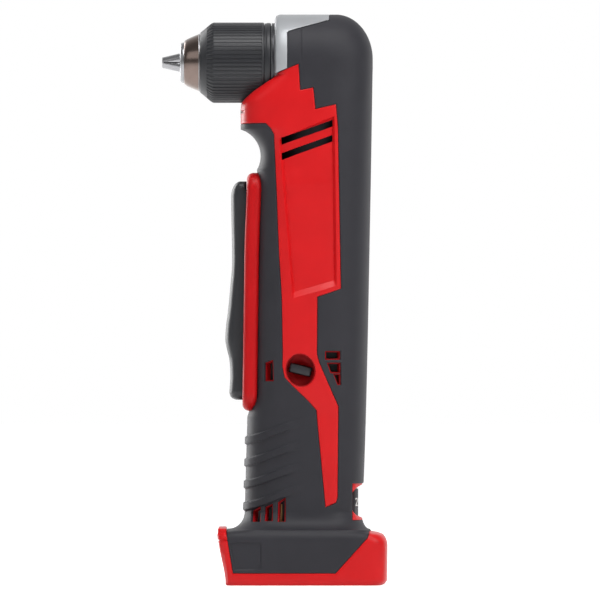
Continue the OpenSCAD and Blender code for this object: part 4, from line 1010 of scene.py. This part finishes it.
studio = {  # place, aimed at, width, height, watts
    "keyBox": ((1.5, -1.6, 1.4), (0, 0, 0.16), 1.1, 1.1, 26),
    "fillBox": ((-1.9, -1.5, 1.5), (0, 0, 0.16), 1.2, 1.2, 5),
    "leftRim": ((-1.0, 1.0, 0.3), (0, 0, 0.16), 0.8, 1.6, 20),
    "rightRim": ((1.1, 1.0, 0.3), (0, 0, 0.16), 0.6, 1.6, 2),
    "topBox": ((0.1, -0.6, 1.6), (0, 0, 0.15), 1.0, 0.8, 19.5),
}
for name, (place, aim, wide, tall, watts) in studio.items():
    lamp = bpy.data.lights.new(name, "AREA")
    lamp.shape = "RECTANGLE"
    lamp.size, lamp.size_y = wide, tall
    lamp.energy = watts
    obj = placed(name, lamp)
    obj.location = place
    obj.rotation_euler = (Vector(aim) - Vector(place)).to_track_quat("-Z", "Y").to_euler()

sky = {"ambient": 0.26, "behind": 1.0, "rise": (0.15, 0.95), "floorShade": 0.86, "floorLift": 0.8}
world = bpy.data.worlds.new("studio")
world.use_nodes = True
bpy.context.scene.world = world
tree = world.node_tree
tree.nodes["Background"].inputs["Color"].default_value = (1, 1, 1, 1)
path = tree.nodes.new("ShaderNodeLightPath")
toward = tree.nodes.new("ShaderNodeTexCoord")
parts = tree.nodes.new("ShaderNodeSeparateXYZ")
tree.links.new(toward.outputs["Generated"], parts.inputs["Vector"])
behind = tree.nodes.new("ShaderNodeMapRange")  # shiny edges mirror the pale wall behind the tool
behind.inputs["From Min"].default_value, behind.inputs["From Max"].default_value = sky["rise"]
behind.inputs["To Min"].default_value = sky["ambient"]
behind.inputs["To Max"].default_value = sky["behind"]
tree.links.new(parts.outputs["Y"], behind.inputs["Value"])
glossy = tree.nodes.new("ShaderNodeMapRange")
glossy.inputs["To Min"].default_value = sky["ambient"]
tree.links.new(path.outputs["Is Glossy Ray"], glossy.inputs["Value"])
tree.links.new(behind.outputs["Result"], glossy.inputs["To Max"])
level = tree.nodes.new("ShaderNodeMapRange")
level.inputs["To Max"].default_value = 1.0
straight = tree.nodes.new("ShaderNodeMath")  # rays from the camera, also through clear pieces
tree.links.new(path.outputs["Is Camera Ray"], straight.inputs[0])
tree.links.new(path.outputs["Is Transmission Ray"], straight.inputs[1])
tree.links.new(straight.outputs["Value"], level.inputs["Value"])
tree.links.new(glossy.outputs["Result"], level.inputs["To Min"])
tree.links.new(level.outputs["Result"], tree.nodes["Background"].inputs["Strength"])

bm = bmesh.new()
bmesh.ops.create_grid(bm, x_segments=1, y_segments=1, size=9)
floor = placed("floor", meshOf(bm, "floor"))
paper = bpy.data.materials.new("paper")
paper.use_nodes = True
tree = paper.node_tree
base = tree.nodes["Principled BSDF"]
base.inputs["Base Color"].default_value = (*[sky["floorShade"]] * 3, 1)
base.inputs["Roughness"].default_value = 0.9
base.inputs["Emission Color"].default_value = (1, 1, 1, 1)
seen = tree.nodes.new("ShaderNodeLightPath")
lift = tree.nodes.new("ShaderNodeMapRange")  # the floor glows where it is seen, so it stays white
lift.inputs["To Min"].default_value = 0.0
lift.inputs["To Max"].default_value = sky["floorLift"]
total = seen.outputs["Is Camera Ray"]
for word in ("Is Glossy Ray", "Is Transmission Ray"):
    both = tree.nodes.new("ShaderNodeMath")
    tree.links.new(total, both.inputs[0])
    tree.links.new(seen.outputs[word], both.inputs[1])
    total = both.outputs["Value"]
tree.links.new(total, lift.inputs["Value"])
tree.links.new(lift.outputs["Result"], base.inputs["Emission Strength"])
floor.data.materials.append(paper)
bpy.context.scene.view_settings.view_transform = "Standard"

print("scene ready")
